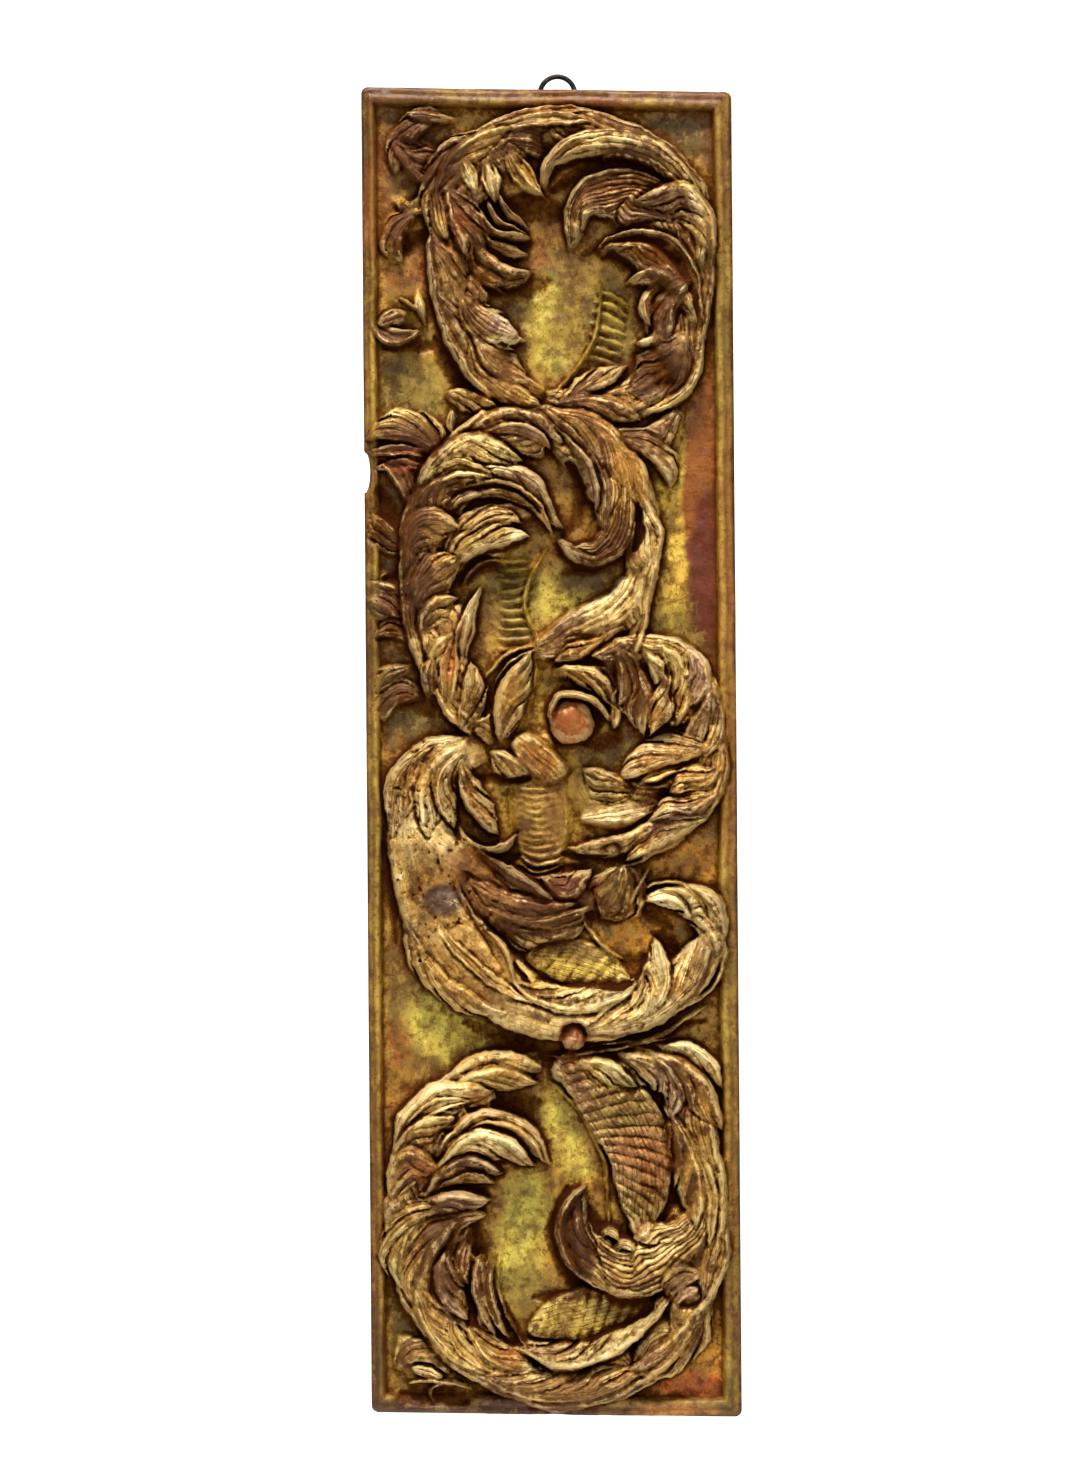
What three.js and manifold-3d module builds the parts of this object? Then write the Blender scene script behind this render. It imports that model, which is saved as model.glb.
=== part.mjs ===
// Tall gilded panel, a frieze carved with one rising stem of acanthus scrolls.
// One plank holds the board, the moulded border and the scrollwork, all cut from the same wood.
// An iron ring with a flat tang is let into the back and hangs the panel from its top edge.
// Millimetres. X runs to the right, Z runs up the panel, the carved side faces -Y and the back is the plane Y = 0.
import * as THREE from 'three';
import { mergeVertices } from 'three/addons/utils/BufferGeometryUtils.js';
import Module from 'manifold-3d';

const wasm = await Module();
wasm.setup();

// Board and border
const PANEL_WIDTH = 264;
const PANEL_HEIGHT = 945;
const OUT_OF_SQUARE = 5.3;        // the right end of both short sides sits lower by this much
const CORNER_RADIUS = 5;
const GROUND = 20;                // thickness of the board behind the sunk ground
const EDGE_CHAMFER = 2;
// Border moulding as inset from the edge and height over the sunk ground
const BORDER_PROFILE = [
  [0, 4.5], [2.2, 7.8], [5.4, 7.4], [6.8, 9.6], [11.2, 9.2], [13.5, 0],
];
const ROOT = 5;                   // depth to which each carved form runs into the board
const FAIRING = 0.45;             // points closer than this to the faces around them are drawn away
const LEAST_HEIGHT = 0.05;        // no facet left thinner than this
const STATION = 30;               // spacing of the cross sections along a form

// Missing sliver on the left edge
const NOTCH = { z: 198, length: 30, depth: 4.2 };

// Hanging ring and its tang
const RING_X = 8;
const RING_RADIUS = 12.5;         // to the middle of the wire
const RING_WIRE = 3.6;
const TANG_WIDTH = 15;
const TANG_LENGTH = 46;
const TANG_THICK = 2;
const TANG_BACK_SET = 1.6;        // tang sits this far in from the plane of the back
const GAP = 0.3;
const NAIL_SHANK = 2.4;
const NAIL_HEAD = 5;
const NAIL_HEAD_THICK = 1;
const NAIL_LENGTH = 13;

// Cross sections of the carved forms: share of the half width, share of the height
const SECTIONS = {
  roll: [[-0.56, 0.94], [0.56, 1]],
  mass: [[-0.6, 0.8], [0.6, 0.8]],
  scoop: [[-0.84, 1], [0, 0.7], [0.84, 1]],
  crest: [[-0.7, 0.6], [0.72, 1]],
  leaf: [[-0.86, 0.68], [0, 1], [0.86, 0.68]],
  ribbed: [[-0.84, 0.98], [-0.42, 0.72], [0, 1], [0.42, 0.72], [0.84, 0.98]],
  ridge: [[0, 1]],
  fan: [[-0.84, 0.84], [0, 1], [0.84, 0.84]],
};

// Share of the full width reached along each form, from its root to its tip
const OUTLINES = {
  band: (t) => 0.3 + 0.7 * Math.sin(Math.PI * t) ** 0.35,
  tongue: (t) => Math.max(0.12, (0.45 + 0.55 * Math.min(1, t / 0.5)) * Math.min(1, (1 - t) / 0.34) ** 0.6),
  spear: (t) => Math.max(0.12, Math.min(1, t / 0.45) ** 0.6 * Math.min(1, (1 - t) / 0.5) ** 0.75),
};
const OUTLINE_OF = {
  roll: 'band', mass: 'band', ridge: 'band', fan: 'band', ribbed: 'band',
  scoop: 'tongue', crest: 'tongue', leaf: 'spear',
};
const RISE_OF = {
  roll: [0.8, 1, 0.85], mass: [0.55, 1, 0.6], ridge: [0.7, 1, 0.7], fan: [0.8, 1, 0.8], ribbed: [0.7, 1, 0.8],
  scoop: [0.7, 1, 0.95], crest: [0.7, 1, 0.95], leaf: [0.7, 1, 0.85],
};

// Each carved form: kind, width, height over the ground, then where it starts, passes and ends (x, z)
const TOP_SCROLL = [
  ['mass', 62, 19, -40, 424, 36, 440, 100, 390],
  ['mass', 64, 18, 96, 412, 89, 340, 76, 258],
  ['mass', 48, 18, -26, 438, -62, 372, -56, 298],
  ['mass', 48, 18, -62, 322, -42, 276, -4, 250],
  ['mass', 44, 15, 0, 252, 46, 250, 92, 280],
  ['mass', 44, 10, -110, 452, -98, 424, -74, 404],
  ['scoop', 22, 19, -72, 430, -26, 456, 36, 464],
  ['roll', 12, 20, 8, 459, 86, 436, 119, 386],
  ['roll', 12, 19, 119, 392, 114, 326, 98, 260],
  ['crest', 18, 29, 112, 384, 62, 441, -12, 430],
  ['crest', 15, 27, 112, 370, 68, 431, 4, 413],
  ['ribbed', 18, 19, 88, 398, 56, 411, 18, 402],
  ['scoop', 15, 20, 92, 386, 58, 391, 27, 376],
  ['scoop', 19, 26, 116, 364, 96, 393, 64, 395],
  ['crest', 16, 28, 114, 318, 90, 365, 38, 356],
  ['scoop', 15, 21, 110, 306, 88, 341, 54, 340],
  ['scoop', 15, 21, 106, 334, 92, 314, 85, 292],
  ['roll', 9, 20, 101, 272, 92, 252, 58, 238],
  ['scoop', 18, 18, 66, 236, 50, 228, 20, 236],
  ['roll', 10, 22, -24, 442, -66, 417, -81, 368],
  ['roll', 10, 22, -82, 376, -84, 336, -70, 298],
  ['roll', 10, 21, -74, 308, -62, 280, -38, 254],
  ['scoop', 24, 25, -72, 410, -50, 434, -15, 431],
  ['leaf', 13, 26, -60, 424, -56, 411, -52, 397],
  ['leaf', 14, 27, -44, 428, -42, 408, -38, 391],
  ['scoop', 21, 27, -70, 402, -67, 376, -52, 351],
  ['leaf', 17, 22, -34, 426, -14, 413, -1, 396],
  ['crest', 12, 25, -42, 402, -31, 378, -11, 371],
  ['crest', 12, 28, -48, 388, -33, 363, -10, 367],
  ['crest', 12, 22, -48, 368, -30, 351, -11, 352],
  ['scoop', 25, 21, -62, 326, -46, 304, -19, 296],
  ['scoop', 26, 23, -54, 302, -36, 276, -14, 264],
  ['ridge', 4, 8, 38, 337, 33, 300, 0, 252],
  ['scoop', 13, 15, -108, 399, -96, 389, -82, 399],
  ['scoop', 18, 15, -127, 310, -108, 298, -90, 306],
];

const SECOND_SCROLL = [
  ['mass', 50, 18, -16, 228, -82, 180, -84, 96],
  ['mass', 42, 16, -86, 120, -78, 72, -54, 12],
  ['mass', 50, 18, -16, 232, 44, 206, 58, 122],
  ['mass', 26, 10, -118, 222, -100, 208, -92, 182],
  ['roll', 10, 19, -82, 205, -52, 236, -2, 241],
  ['roll', 13, 19, -10, 247, 40, 227, 76, 182],
  ['crest', 13, 25, -48, 226, -22, 239, 7, 221],
  ['scoop', 21, 29, -86, 202, -54, 218, -21, 207],
  ['crest', 14, 25, -88, 180, -42, 201, 9, 164],
  ['scoop', 22, 24, -70, 142, -44, 152, -17, 155],
  ['roll', 11, 20, -74, 194, -99, 172, -103, 128],
  ['roll', 10, 20, -103, 136, -99, 90, -79, 36],
  ['roll', 10, 20, -82, 48, -72, 28, -52, 10],
  ['scoop', 27, 23, -101, 148, -86, 166, -64, 160],
  ['scoop', 24, 21, -100, 108, -84, 120, -66, 137],
  ['leaf', 15, 25, -62, 60, -60, 88, -50, 119],
  ['scoop', 16, 23, -72, 30, -73, 58, -71, 85],
  ['leaf', 15, 22, -66, 14, -60, 42, -62, 62],
  ['leaf', 17, 22, -34, 6, -31, 42, -17, 68],
  ['crest', 13, 26, 2, 224, 28, 202, 38, 169],
  ['scoop', 17, 22, 44, 210, 64, 188, 62, 138],
  ['roll', 6, 18, 66, 178, 77, 152, 70, 118],
  ['roll', 6, 17, 73, 132, 70, 104, 58, 70],
  ['leaf', 14, 19, 48, 170, 36, 150, 14, 148],
  ['ridge', 4, 8, -2, 147, -18, 112, -7, 78],
  ['ribbed', 36, 18, -10, 72, 24, 92, 58, 126],
];

const THIRD_SCROLL = [
  ['mass', 40, 13, 58, 70, 66, 40, 66, 6],
  ['mass', 50, 16, 92, 74, 102, 20, 98, -48],
  ['mass', 58, 15, 104, -16, 74, -42, 24, -56],
  ['mass', 62, 21, -68, 6, -94, -58, -72, -130],
  ['mass', 58, 22, -86, -102, -46, -156, 24, -186],
  ['mass', 48, 17, -64, -76, -20, -104, 26, -110],
  ['crest', 9, 28, -6, 20, 10, 43, 36, 32],
  ['crest', 10, 22, 22, 45, 46, 38, 42, 16],
  ['crest', 10, 21, -2, 60, 26, 57, 54, 34],
  ['ribbed', 27, 20, 44, 74, 54, 46, 66, 12],
  ['scoop', 13, 27, 62, 74, 86, 45, 72, 10],
  ['scoop', 14, 21, 78, 76, 98, 52, 98, 30],
  ['roll', 11, 17, 121, 12, 116, -24, 90, -58],
  ['scoop', 16, 23, 114, -2, 84, -14, 54, -20],
  ['scoop', 15, 25, 118, -12, 102, -24, 84, -31],
  ['scoop', 15, 27, 119, -26, 96, -42, 66, -54],
  ['crest', 13, 24, 114, -40, 86, -58, 50, -78],
  ['ribbed', 22, 18, 80, -34, 46, -46, 12, -50],
  ['roll', 15, 23, -66, 8, -105, -18, -113, -60],
  ['roll', 14, 23, -112, -50, -107, -94, -98, -130],
  ['scoop', 18, 27, -60, 6, -88, -14, -92, -56],
  ['scoop', 14, 27, -56, 2, -74, -16, -72, -46],
  ['crest', 11, 23, -66, -50, -46, -71, -25, -58],
  ['leaf', 26, 17, -26, 10, -8, -6, 8, -20],
  ['crest', 13, 27, -66, -60, -34, -86, 2, -107],
  ['scoop', 28, 26, -100, -90, -80, -100, -56, -112],
  ['scoop', 22, 23, -8, -88, 12, -100, 34, -90],
  ['ribbed', 28, 20, -46, -112, -12, -120, 24, -112],
  ['crest', 12, 27, -34, -154, 18, -181, 64, -164],
  ['roll', 24, 25, -6, -192, 64, -191, 112, -138],
  ['roll', 20, 25, 113, -150, 112, -104, 74, -104],
  ['crest', 12, 27, 98, -120, 84, -100, 64, -105],
  ['leaf', 16, 25, 64, -192, 78, -162, 72, -132],
];

const BOTTOM_SCROLL = [
  ['mass', 58, 19, -16, -230, -78, -264, -90, -334],
  ['mass', 60, 20, -92, -308, -80, -394, -24, -436],
  ['mass', 54, 18, -44, -430, 24, -441, 84, -398],
  ['mass', 56, 17, 80, -412, 102, -340, 94, -236],
  ['mass', 36, 12, 44, -226, 84, -222, 112, -226],
  ['roll', 10, 16, -46, -216, -94, -254, -114, -304],
  ['roll', 13, 19, -116, -296, -113, -350, -90, -400],
  ['roll', 14, 20, -98, -386, -66, -436, -12, -462],
  ['scoop', 13, 22, -66, -228, -38, -214, -8, -220],
  ['scoop', 14, 23, -70, -238, -42, -228, -12, -232],
  ['scoop', 18, 26, -108, -274, -84, -240, -44, -241],
  ['scoop', 16, 24, -112, -292, -98, -264, -64, -257],
  ['crest', 13, 27, -74, -278, -36, -257, -3, -292],
  ['scoop', 17, 31, -76, -290, -44, -270, -14, -294],
  ['crest', 13, 26, -80, -304, -56, -285, -35, -299],
  ['scoop', 15, 26, -84, -328, -66, -309, -46, -318],
  ['scoop', 16, 25, -74, -350, -82, -376, -63, -403],
  ['ridge', 7, 20, -50, -356, -55, -388, -42, -416],
  ['crest', 13, 27, -34, -422, 28, -437, 85, -385],
  ['roll', 20, 21, -54, -434, 6, -452, 66, -432],
  ['scoop', 16, 20, 94, -398, 74, -424, 51, -438],
  ['roll', 9, 18, 117, -300, 120, -362, 96, -406],
  ['roll', 15, 18, 14, -312, -2, -350, 32, -380],
  ['scoop', 16, 23, 46, -216, 80, -226, 87, -260],
  ['scoop', 16, 21, 72, -212, 102, -232, 120, -268],
  ['scoop', 14, 22, 84, -256, 99, -292, 98, -336],
  ['leaf', 15, 22, 18, -222, 42, -224, 57, -238],
  ['ridge', 6, 13, -106, -450, -86, -447, -60, -453],
];

// Bundles of neighbouring forms: how many, the first and the last; the rest are spaced evenly between them
const BUNDLES = [
  [5, ['ridge', 5, 7, 35, 329, 46, 325, 59, 318], ['ridge', 5, 7, 26, 287, 38, 283, 53, 277]],
  [5, ['ridge', 6, 6, -38, 136, -26, 135, -15, 136], ['ridge', 6, 6, -38, 88, -26, 87, -13, 88]],
  [6, ['ridge', 6, 17, -25, -30, -8, -31, 8, -32], ['ridge', 5, 17, -18, -84, -4, -85, 8, -86]],
  [3, ['scoop', 10, 17, -122, 227, -104, 225, -82, 235], ['scoop', 10, 16, -124, 204, -106, 200, -84, 208]],
  [3, ['scoop', 14, 23, -102, -122, -95, -146, -84, -162], ['scoop', 15, 28, -70, -116, -44, -146, -8, -170]],
  [3, ['scoop', 15, 24, -74, -322, -106, -342, -102, -372], ['scoop', 12, 23, -60, -336, -82, -360, -86, -396]],
  [3, ['scoop', 12, 23, -98, -374, -90, -404, -56, -438], ['scoop', 12, 23, -72, -392, -62, -418, -34, -438]],
  [3, ['crest', 13, 26, 28, -342, 70, -354, 97, -312], ['crest', 10, 23, 34, -388, 72, -390, 106, -350]],
];

// Round bosses: x, z, radius, height over the ground
const BOSSES = [
  [14, 22, 16.5, 27], [14, -203, 11.5, 21], [42, -70, 6.5, 13], [96, -388, 8, 21], [38, -347, 5, 25],
];

// Ribbed cushions crossed by gouged furrows: number of ribs and the form they lie on
const CUSHIONS = [
  [8, ['fan', 48, 21, 10, -230, 56, -268, 60, -336]],
  [5, ['fan', 30, 14, -20, -406, 16, -404, 58, -404]],
];

function closedMesh(points, faces) {
  const geometry = new THREE.BufferGeometry();
  geometry.setAttribute('position', new THREE.Float32BufferAttribute(points.flat(), 3));
  geometry.setIndex(faces.flat());
  return geometry;
}

// Skin over a row of rings with the same number of points, closed by a flat face at both ends
function skin(rings) {
  const size = rings[0].length;
  const faces = [];
  for (let r = 0; r + 1 < rings.length; r += 1) {
    for (let i = 0; i < size; i += 1) {
      const a = r * size + i;
      const b = r * size + ((i + 1) % size);
      faces.push([a, b, b + size], [a, b + size, a + size]);
    }
  }
  const last = (rings.length - 1) * size;
  for (let i = 1; i + 1 < size; i += 1) {
    faces.push([0, i + 1, i], [last, last + i, last + i + 1]);
  }
  return closedMesh(rings.flat(), faces);
}

function volumeOf(geometry) {
  const p = geometry.getAttribute('position');
  const index = geometry.getIndex().array;
  const [a, b, c] = [new THREE.Vector3(), new THREE.Vector3(), new THREE.Vector3()];
  let sum = 0;
  for (let i = 0; i < index.length; i += 3) {
    a.fromBufferAttribute(p, index[i]);
    b.fromBufferAttribute(p, index[i + 1]);
    c.fromBufferAttribute(p, index[i + 2]);
    sum += a.dot(b.cross(c)) / 6;
  }
  return sum;
}

function solid(source) {
  let geometry = source.clone();
  geometry.deleteAttribute('normal');
  geometry.deleteAttribute('uv');
  geometry = mergeVertices(geometry, 1e-4);
  const index = Array.from(geometry.getIndex().array);
  if (volumeOf(geometry) < 0) {
    for (let i = 0; i < index.length; i += 3) [index[i], index[i + 1]] = [index[i + 1], index[i]];
  }
  return new wasm.Manifold(new wasm.Mesh({
    numProp: 3,
    vertProperties: new Float32Array(geometry.getAttribute('position').array),
    triVerts: new Uint32Array(index),
  }));
}

// Draws away points that lie within a tolerance of every face they have stood for, so that no sliver is left
// where carved forms cross
function faired(body, tolerance) {
  const data = body.getMesh();
  const points = [];
  for (let i = 0; i < data.vertProperties.length; i += 3) {
    points.push(new THREE.Vector3().fromArray(data.vertProperties, i));
  }
  const faces = [];
  for (let i = 0; i < data.triVerts.length; i += 3) faces.push(Array.from(data.triVerts.slice(i, i + 3)));
  const around = points.map(() => new Set());
  faces.forEach((face, f) => face.forEach((v) => around[v].add(f)));
  const cornersOf = (face) => face.map((v) => points[v]);
  const planes = points.map(() => new Set());
  faces.forEach((face) => {
    const plane = new THREE.Plane().setFromCoplanarPoints(...cornersOf(face));
    if (new THREE.Triangle(...cornersOf(face)).getArea() > 1e-3) face.forEach((v) => planes[v].add(plane));
  });
  const neighbours = (v) => {
    const set = new Set();
    for (const f of around[v]) for (const w of faces[f]) if (w !== v) set.add(w);
    return set;
  };
  const normal = new THREE.Vector3();
  const turned = new THREE.Vector3();
  const triangle = new THREE.Triangle();
  const thinness = (corners) => {
    triangle.set(...corners);
    const [a, b, c] = corners;
    const longest = Math.max(a.distanceTo(b), b.distanceTo(c), c.distanceTo(a));
    return (2 * triangle.getArea()) / Math.max(longest, 1e-9);
  };
  const canMove = (v, u) => {
    let shared = 0;
    const beside = neighbours(u);
    for (const w of neighbours(v)) if (beside.has(w)) shared += 1;
    if (shared !== 2) return false;
    for (const f of around[v]) {
      if (faces[f].includes(u)) continue;
      const before = cornersOf(faces[f]);
      const after = faces[f].map((w) => points[w === v ? u : w]);
      const slim = thinness(before);
      if (thinness(after) < Math.min(LEAST_HEIGHT, slim)) return false;
      if (slim < LEAST_HEIGHT) continue;
      triangle.set(...before).getNormal(normal);
      triangle.set(...after).getNormal(turned);
      if (normal.dot(turned) < 0.3) return false;
    }
    return true;
  };
  for (let pass = 0; pass < 40; pass += 1) {
    const moves = [];
    points.forEach((_, v) => {
      if (!around[v].size) return;
      let best = null;
      for (const u of neighbours(v)) {
        let cost = 0;
        for (const plane of planes[v]) cost = Math.max(cost, Math.abs(plane.distanceToPoint(points[u])));
        cost += 0.002 * points[v].distanceTo(points[u]);
        if (cost < tolerance && (!best || cost < best.cost) && canMove(v, u)) best = { v, u, cost };
      }
      if (best) moves.push(best);
    });
    if (!moves.length) break;
    moves.sort((a, b) => a.cost - b.cost);
    const held = new Set();
    for (const { v, u } of moves) {
      const near = neighbours(v);
      if (held.has(v) || held.has(u) || !canMove(v, u)) continue;
      for (const f of [...around[v]]) {
        if (faces[f].includes(u)) {
          for (const w of faces[f]) around[w].delete(f);
          faces[f] = null;
        } else {
          faces[f] = faces[f].map((w) => (w === v ? u : w));
          around[u].add(f);
        }
      }
      around[v].clear();
      for (const plane of planes[v]) planes[u].add(plane);
      for (const w of near) held.add(w);
      held.add(v);
    }
  }
  const kept = faces.filter(Boolean);
  return closedMesh(points.map((point) => point.toArray()), kept);
}

function meshFrom(body, name, material) {
  const data = body.getMesh();
  const geometry = new THREE.BufferGeometry();
  geometry.setAttribute('position', new THREE.BufferAttribute(new Float32Array(data.vertProperties), 3));
  geometry.setIndex(new THREE.BufferAttribute(new Uint32Array(data.triVerts), 1));
  geometry.computeVertexNormals();
  const mesh = new THREE.Mesh(geometry, material);
  mesh.name = name;
  return mesh;
}

// Outline of the panel drawn in by an inset, with rounded corners and the short sides out of square
function panelOutline(inset) {
  const hw = PANEL_WIDTH / 2 - inset;
  const hh = PANEL_HEIGHT / 2 - inset;
  const r = Math.max(0.6, CORNER_RADIUS - inset);
  const points = [];
  const corners = [[1, -1, -90], [1, 1, 0], [-1, 1, 90], [-1, -1, 180]];
  for (const [sx, sz, start] of corners) {
    for (const step of [0, 45, 90]) {
      const angle = THREE.MathUtils.degToRad(start + step);
      const x = sx * (hw - r) + r * Math.cos(angle);
      const z = sz * (hh - r) + r * Math.sin(angle);
      points.push([x, z - OUT_OF_SQUARE * (x / PANEL_WIDTH)]);
    }
  }
  return points;
}

function board() {
  const loops = [[EDGE_CHAMFER, 0], [0, EDGE_CHAMFER]];
  for (const [inset, height] of BORDER_PROFILE) loops.push([inset, GROUND + height]);
  return skin(loops.map(([inset, depth]) => panelOutline(inset).map(([x, z]) => [x, -depth, z])));
}

// Point and heading along the bow that runs from the first point through the second to the third
function bow(x0, z0, x1, z1, x2, z2) {
  const before = Math.hypot(x1 - x0, z1 - z0);
  const after = Math.hypot(x2 - x1, z2 - z1);
  const m = THREE.MathUtils.clamp(before / (before + after), 0.3, 0.7);
  const cx = (x1 - (1 - m) ** 2 * x0 - m * m * x2) / (2 * m * (1 - m));
  const cz = (z1 - (1 - m) ** 2 * z0 - m * m * z2) / (2 * m * (1 - m));
  return {
    length: before + after,
    at: (t) => {
      const x = (1 - t) ** 2 * x0 + 2 * t * (1 - t) * cx + t * t * x2;
      const z = (1 - t) ** 2 * z0 + 2 * t * (1 - t) * cz + t * t * z2;
      const dx = (1 - t) * (cx - x0) + t * (x2 - cx);
      const dz = (1 - t) * (cz - z0) + t * (z2 - cz);
      const d = Math.hypot(dx, dz);
      return { x, z, nx: -dz / d, nz: dx / d };
    },
  };
}

// One carved form laid along its bow; ribs, where given, furrow it crosswise
function carvedForm([kind, wide, high, ...path], ribs = 0) {
  const line = bow(...path);
  const section = SECTIONS[kind];
  const outline = OUTLINES[OUTLINE_OF[kind]];
  const [rise0, rise1, rise2] = RISE_OF[kind];
  const steps = ribs > 0 ? ribs * 2 : THREE.MathUtils.clamp(Math.round(line.length / STATION) + 1, 3, 5);
  const rings = [];
  for (let i = 0; i <= steps; i += 1) {
    const t = i / steps;
    const { x, z, nx, nz } = line.at(t);
    const half = (wide / 2) * outline(t);
    const rise = t < 0.5 ? THREE.MathUtils.lerp(rise0, rise1, t * 2) : THREE.MathUtils.lerp(rise1, rise2, t * 2 - 1);
    const furrow = ribs > 0 && i % 2 === 0 ? 0.78 : 1;
    const ring = section.map(([u, v]) => [
      x + nx * half * u, -(GROUND + high * rise * v * furrow), z + nz * half * u,
    ]);
    ring.push([x + nx * half, -(GROUND - ROOT), z + nz * half]);
    ring.push([x - nx * half, -(GROUND - ROOT), z - nz * half]);
    rings.push(ring);
  }
  return skin(rings);
}

function between(count, first, last) {
  return Array.from({ length: count }, (_, i) => first.map((value, k) => (
    typeof value === 'string' ? value : THREE.MathUtils.lerp(value, last[k], i / (count - 1))
  )));
}

function boss([x, z, radius, height]) {
  const profile = [new THREE.Vector2(0, -ROOT), new THREE.Vector2(radius * 0.94, -ROOT)];
  for (const angle of [0, 30, 60]) {
    const a = THREE.MathUtils.degToRad(angle);
    profile.push(new THREE.Vector2(radius * Math.cos(a), height * (0.5 + 0.5 * Math.sin(a))));
  }
  profile.push(new THREE.Vector2(0, height));
  const dome = new THREE.LatheGeometry(profile, 14);
  dome.rotateX(Math.PI);
  dome.translate(x, -GROUND, z);
  return dome;
}

function block(x0, x1, y0, y1, z0, z1) {
  const box = new THREE.BoxGeometry(x1 - x0, y1 - y0, z1 - z0);
  box.translate((x0 + x1) / 2, (y0 + y1) / 2, (z0 + z1) / 2);
  return box;
}

function drum(radius, y0, y1, x, z, facets = 20) {
  const disc = new THREE.CylinderGeometry(radius, radius, y1 - y0, facets);
  disc.translate(x, (y0 + y1) / 2, z);
  return disc;
}

const topEdge = (x) => PANEL_HEIGHT / 2 - OUT_OF_SQUARE * (x / PANEL_WIDTH);
const ringZ = topEdge(RING_X);
const tangFront = -(TANG_BACK_SET + TANG_THICK);
const tangTop = ringZ - RING_RADIUS + RING_WIRE / 4;
const tangFoot = tangTop - TANG_LENGTH;
const nailHeights = [tangTop - TANG_LENGTH * 0.38, tangTop - TANG_LENGTH * 0.8];

function carvedPanel() {
  let body = solid(board());
  const forms = [...TOP_SCROLL, ...SECOND_SCROLL, ...THIRD_SCROLL, ...BOTTOM_SCROLL];
  for (const [count, first, last] of BUNDLES) forms.push(...between(count, first, last));
  for (const form of forms) body = body.add(solid(carvedForm(form)));
  for (const [ribs, form] of CUSHIONS) body = body.add(solid(carvedForm(form, ribs)));
  for (const spec of BOSSES) body = body.add(solid(boss(spec)));
  body = solid(faired(body, FAIRING));

  const sliver = new THREE.CylinderGeometry(NOTCH.depth, NOTCH.depth, 80, 8);
  sliver.scale(1, 1, NOTCH.length / (2 * NOTCH.depth));
  sliver.translate(-PANEL_WIDTH / 2, -GROUND, NOTCH.z);
  body = body.subtract(solid(sliver));

  // Sinking for the tang, open at the top edge, and the nail holes
  const half = TANG_WIDTH / 2 + GAP;
  const slotHalf = RING_RADIUS + RING_WIRE / 2 + 1;
  body = body.subtract(solid(block(
    RING_X - half, RING_X + half, tangFront - GAP, 1, tangFoot - GAP, PANEL_HEIGHT / 2 + 10,
  )));
  body = body.subtract(solid(block(
    RING_X - slotHalf, RING_X + slotHalf, -(RING_WIRE + 2), 1, ringZ - RING_RADIUS - RING_WIRE, PANEL_HEIGHT / 2 + 10,
  )));
  for (const z of nailHeights) {
    const bore = drum(NAIL_SHANK / 2 + GAP, tangFront - NAIL_LENGTH, tangFront + 1, RING_X, z, 12);
    body = body.subtract(solid(bore));
  }
  return body;
}

function ringWithTang() {
  const wire = new THREE.TorusGeometry(RING_RADIUS, RING_WIRE / 2, 10, 32);
  wire.rotateX(Math.PI / 2);
  const ringY = -(RING_WIRE / 2 + 0.8);
  wire.translate(RING_X, ringY, ringZ);
  let body = solid(wire);
  const tang = new THREE.Shape();
  tang.moveTo(-TANG_WIDTH / 2, tangTop);
  tang.lineTo(-TANG_WIDTH / 2, tangFoot + 4);
  tang.lineTo(-TANG_WIDTH / 2 + 4, tangFoot);
  tang.lineTo(TANG_WIDTH / 2 - 4, tangFoot);
  tang.lineTo(TANG_WIDTH / 2, tangFoot + 4);
  tang.lineTo(TANG_WIDTH / 2, tangTop);
  const plate = new THREE.ExtrudeGeometry(tang, { depth: TANG_THICK, bevelEnabled: false });
  plate.rotateX(Math.PI / 2);
  plate.translate(RING_X, -TANG_BACK_SET, 0);
  body = body.add(solid(plate));
  for (const z of nailHeights) {
    body = body.subtract(solid(drum(NAIL_SHANK / 2 + GAP, tangFront - 1, 1, RING_X, z, 12)));
  }
  return body;
}

function nail(z) {
  const face = -TANG_BACK_SET + GAP;
  const profile = [
    new THREE.Vector2(0, face - TANG_THICK - NAIL_LENGTH + 2),
    new THREE.Vector2(NAIL_SHANK / 2, face - TANG_THICK - NAIL_LENGTH + 6),
    new THREE.Vector2(NAIL_SHANK / 2, face),
    new THREE.Vector2(NAIL_HEAD / 2, face),
    new THREE.Vector2(NAIL_HEAD / 2 - 0.5, face + NAIL_HEAD_THICK),
    new THREE.Vector2(0, face + NAIL_HEAD_THICK),
  ];
  const turned = new THREE.LatheGeometry(profile, 12);
  turned.translate(RING_X, 0, z);
  return solid(turned);
}

const gilt = new THREE.MeshStandardMaterial({ name: 'gilded_wood', color: 0x9a7a3c, roughness: 0.5, metalness: 0.55 });
const iron = new THREE.MeshStandardMaterial({ name: 'dark_iron', color: 0x2b2622, roughness: 0.6, metalness: 0.9 });

const panel = new THREE.Group();
panel.name = 'gilded_frieze';
panel.add(meshFrom(carvedPanel(), 'carved_panel', gilt));
panel.add(meshFrom(ringWithTang(), 'hanging_ring', iron));
nailHeights.forEach((z, i) => panel.add(meshFrom(nail(z), `tang_nail_${i + 1}`, iron)));

export default panel;
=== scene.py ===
"""Looks of a tall gilded frieze panel carved with one rising stem of acanthus scrolls.

The carved face is one height field, cut form by form the way a carver lays one leaf over another. It is closed to
the flat back, thinned where it is smooth, and dressed in rubbed old gilding over red bole with umber in the hollows;
the umber, the dark strand grooves and the pale crests are partly painted shade and painted highlights.
"""

import logging
import math
from dataclasses import dataclass
from enum import Enum

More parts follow.
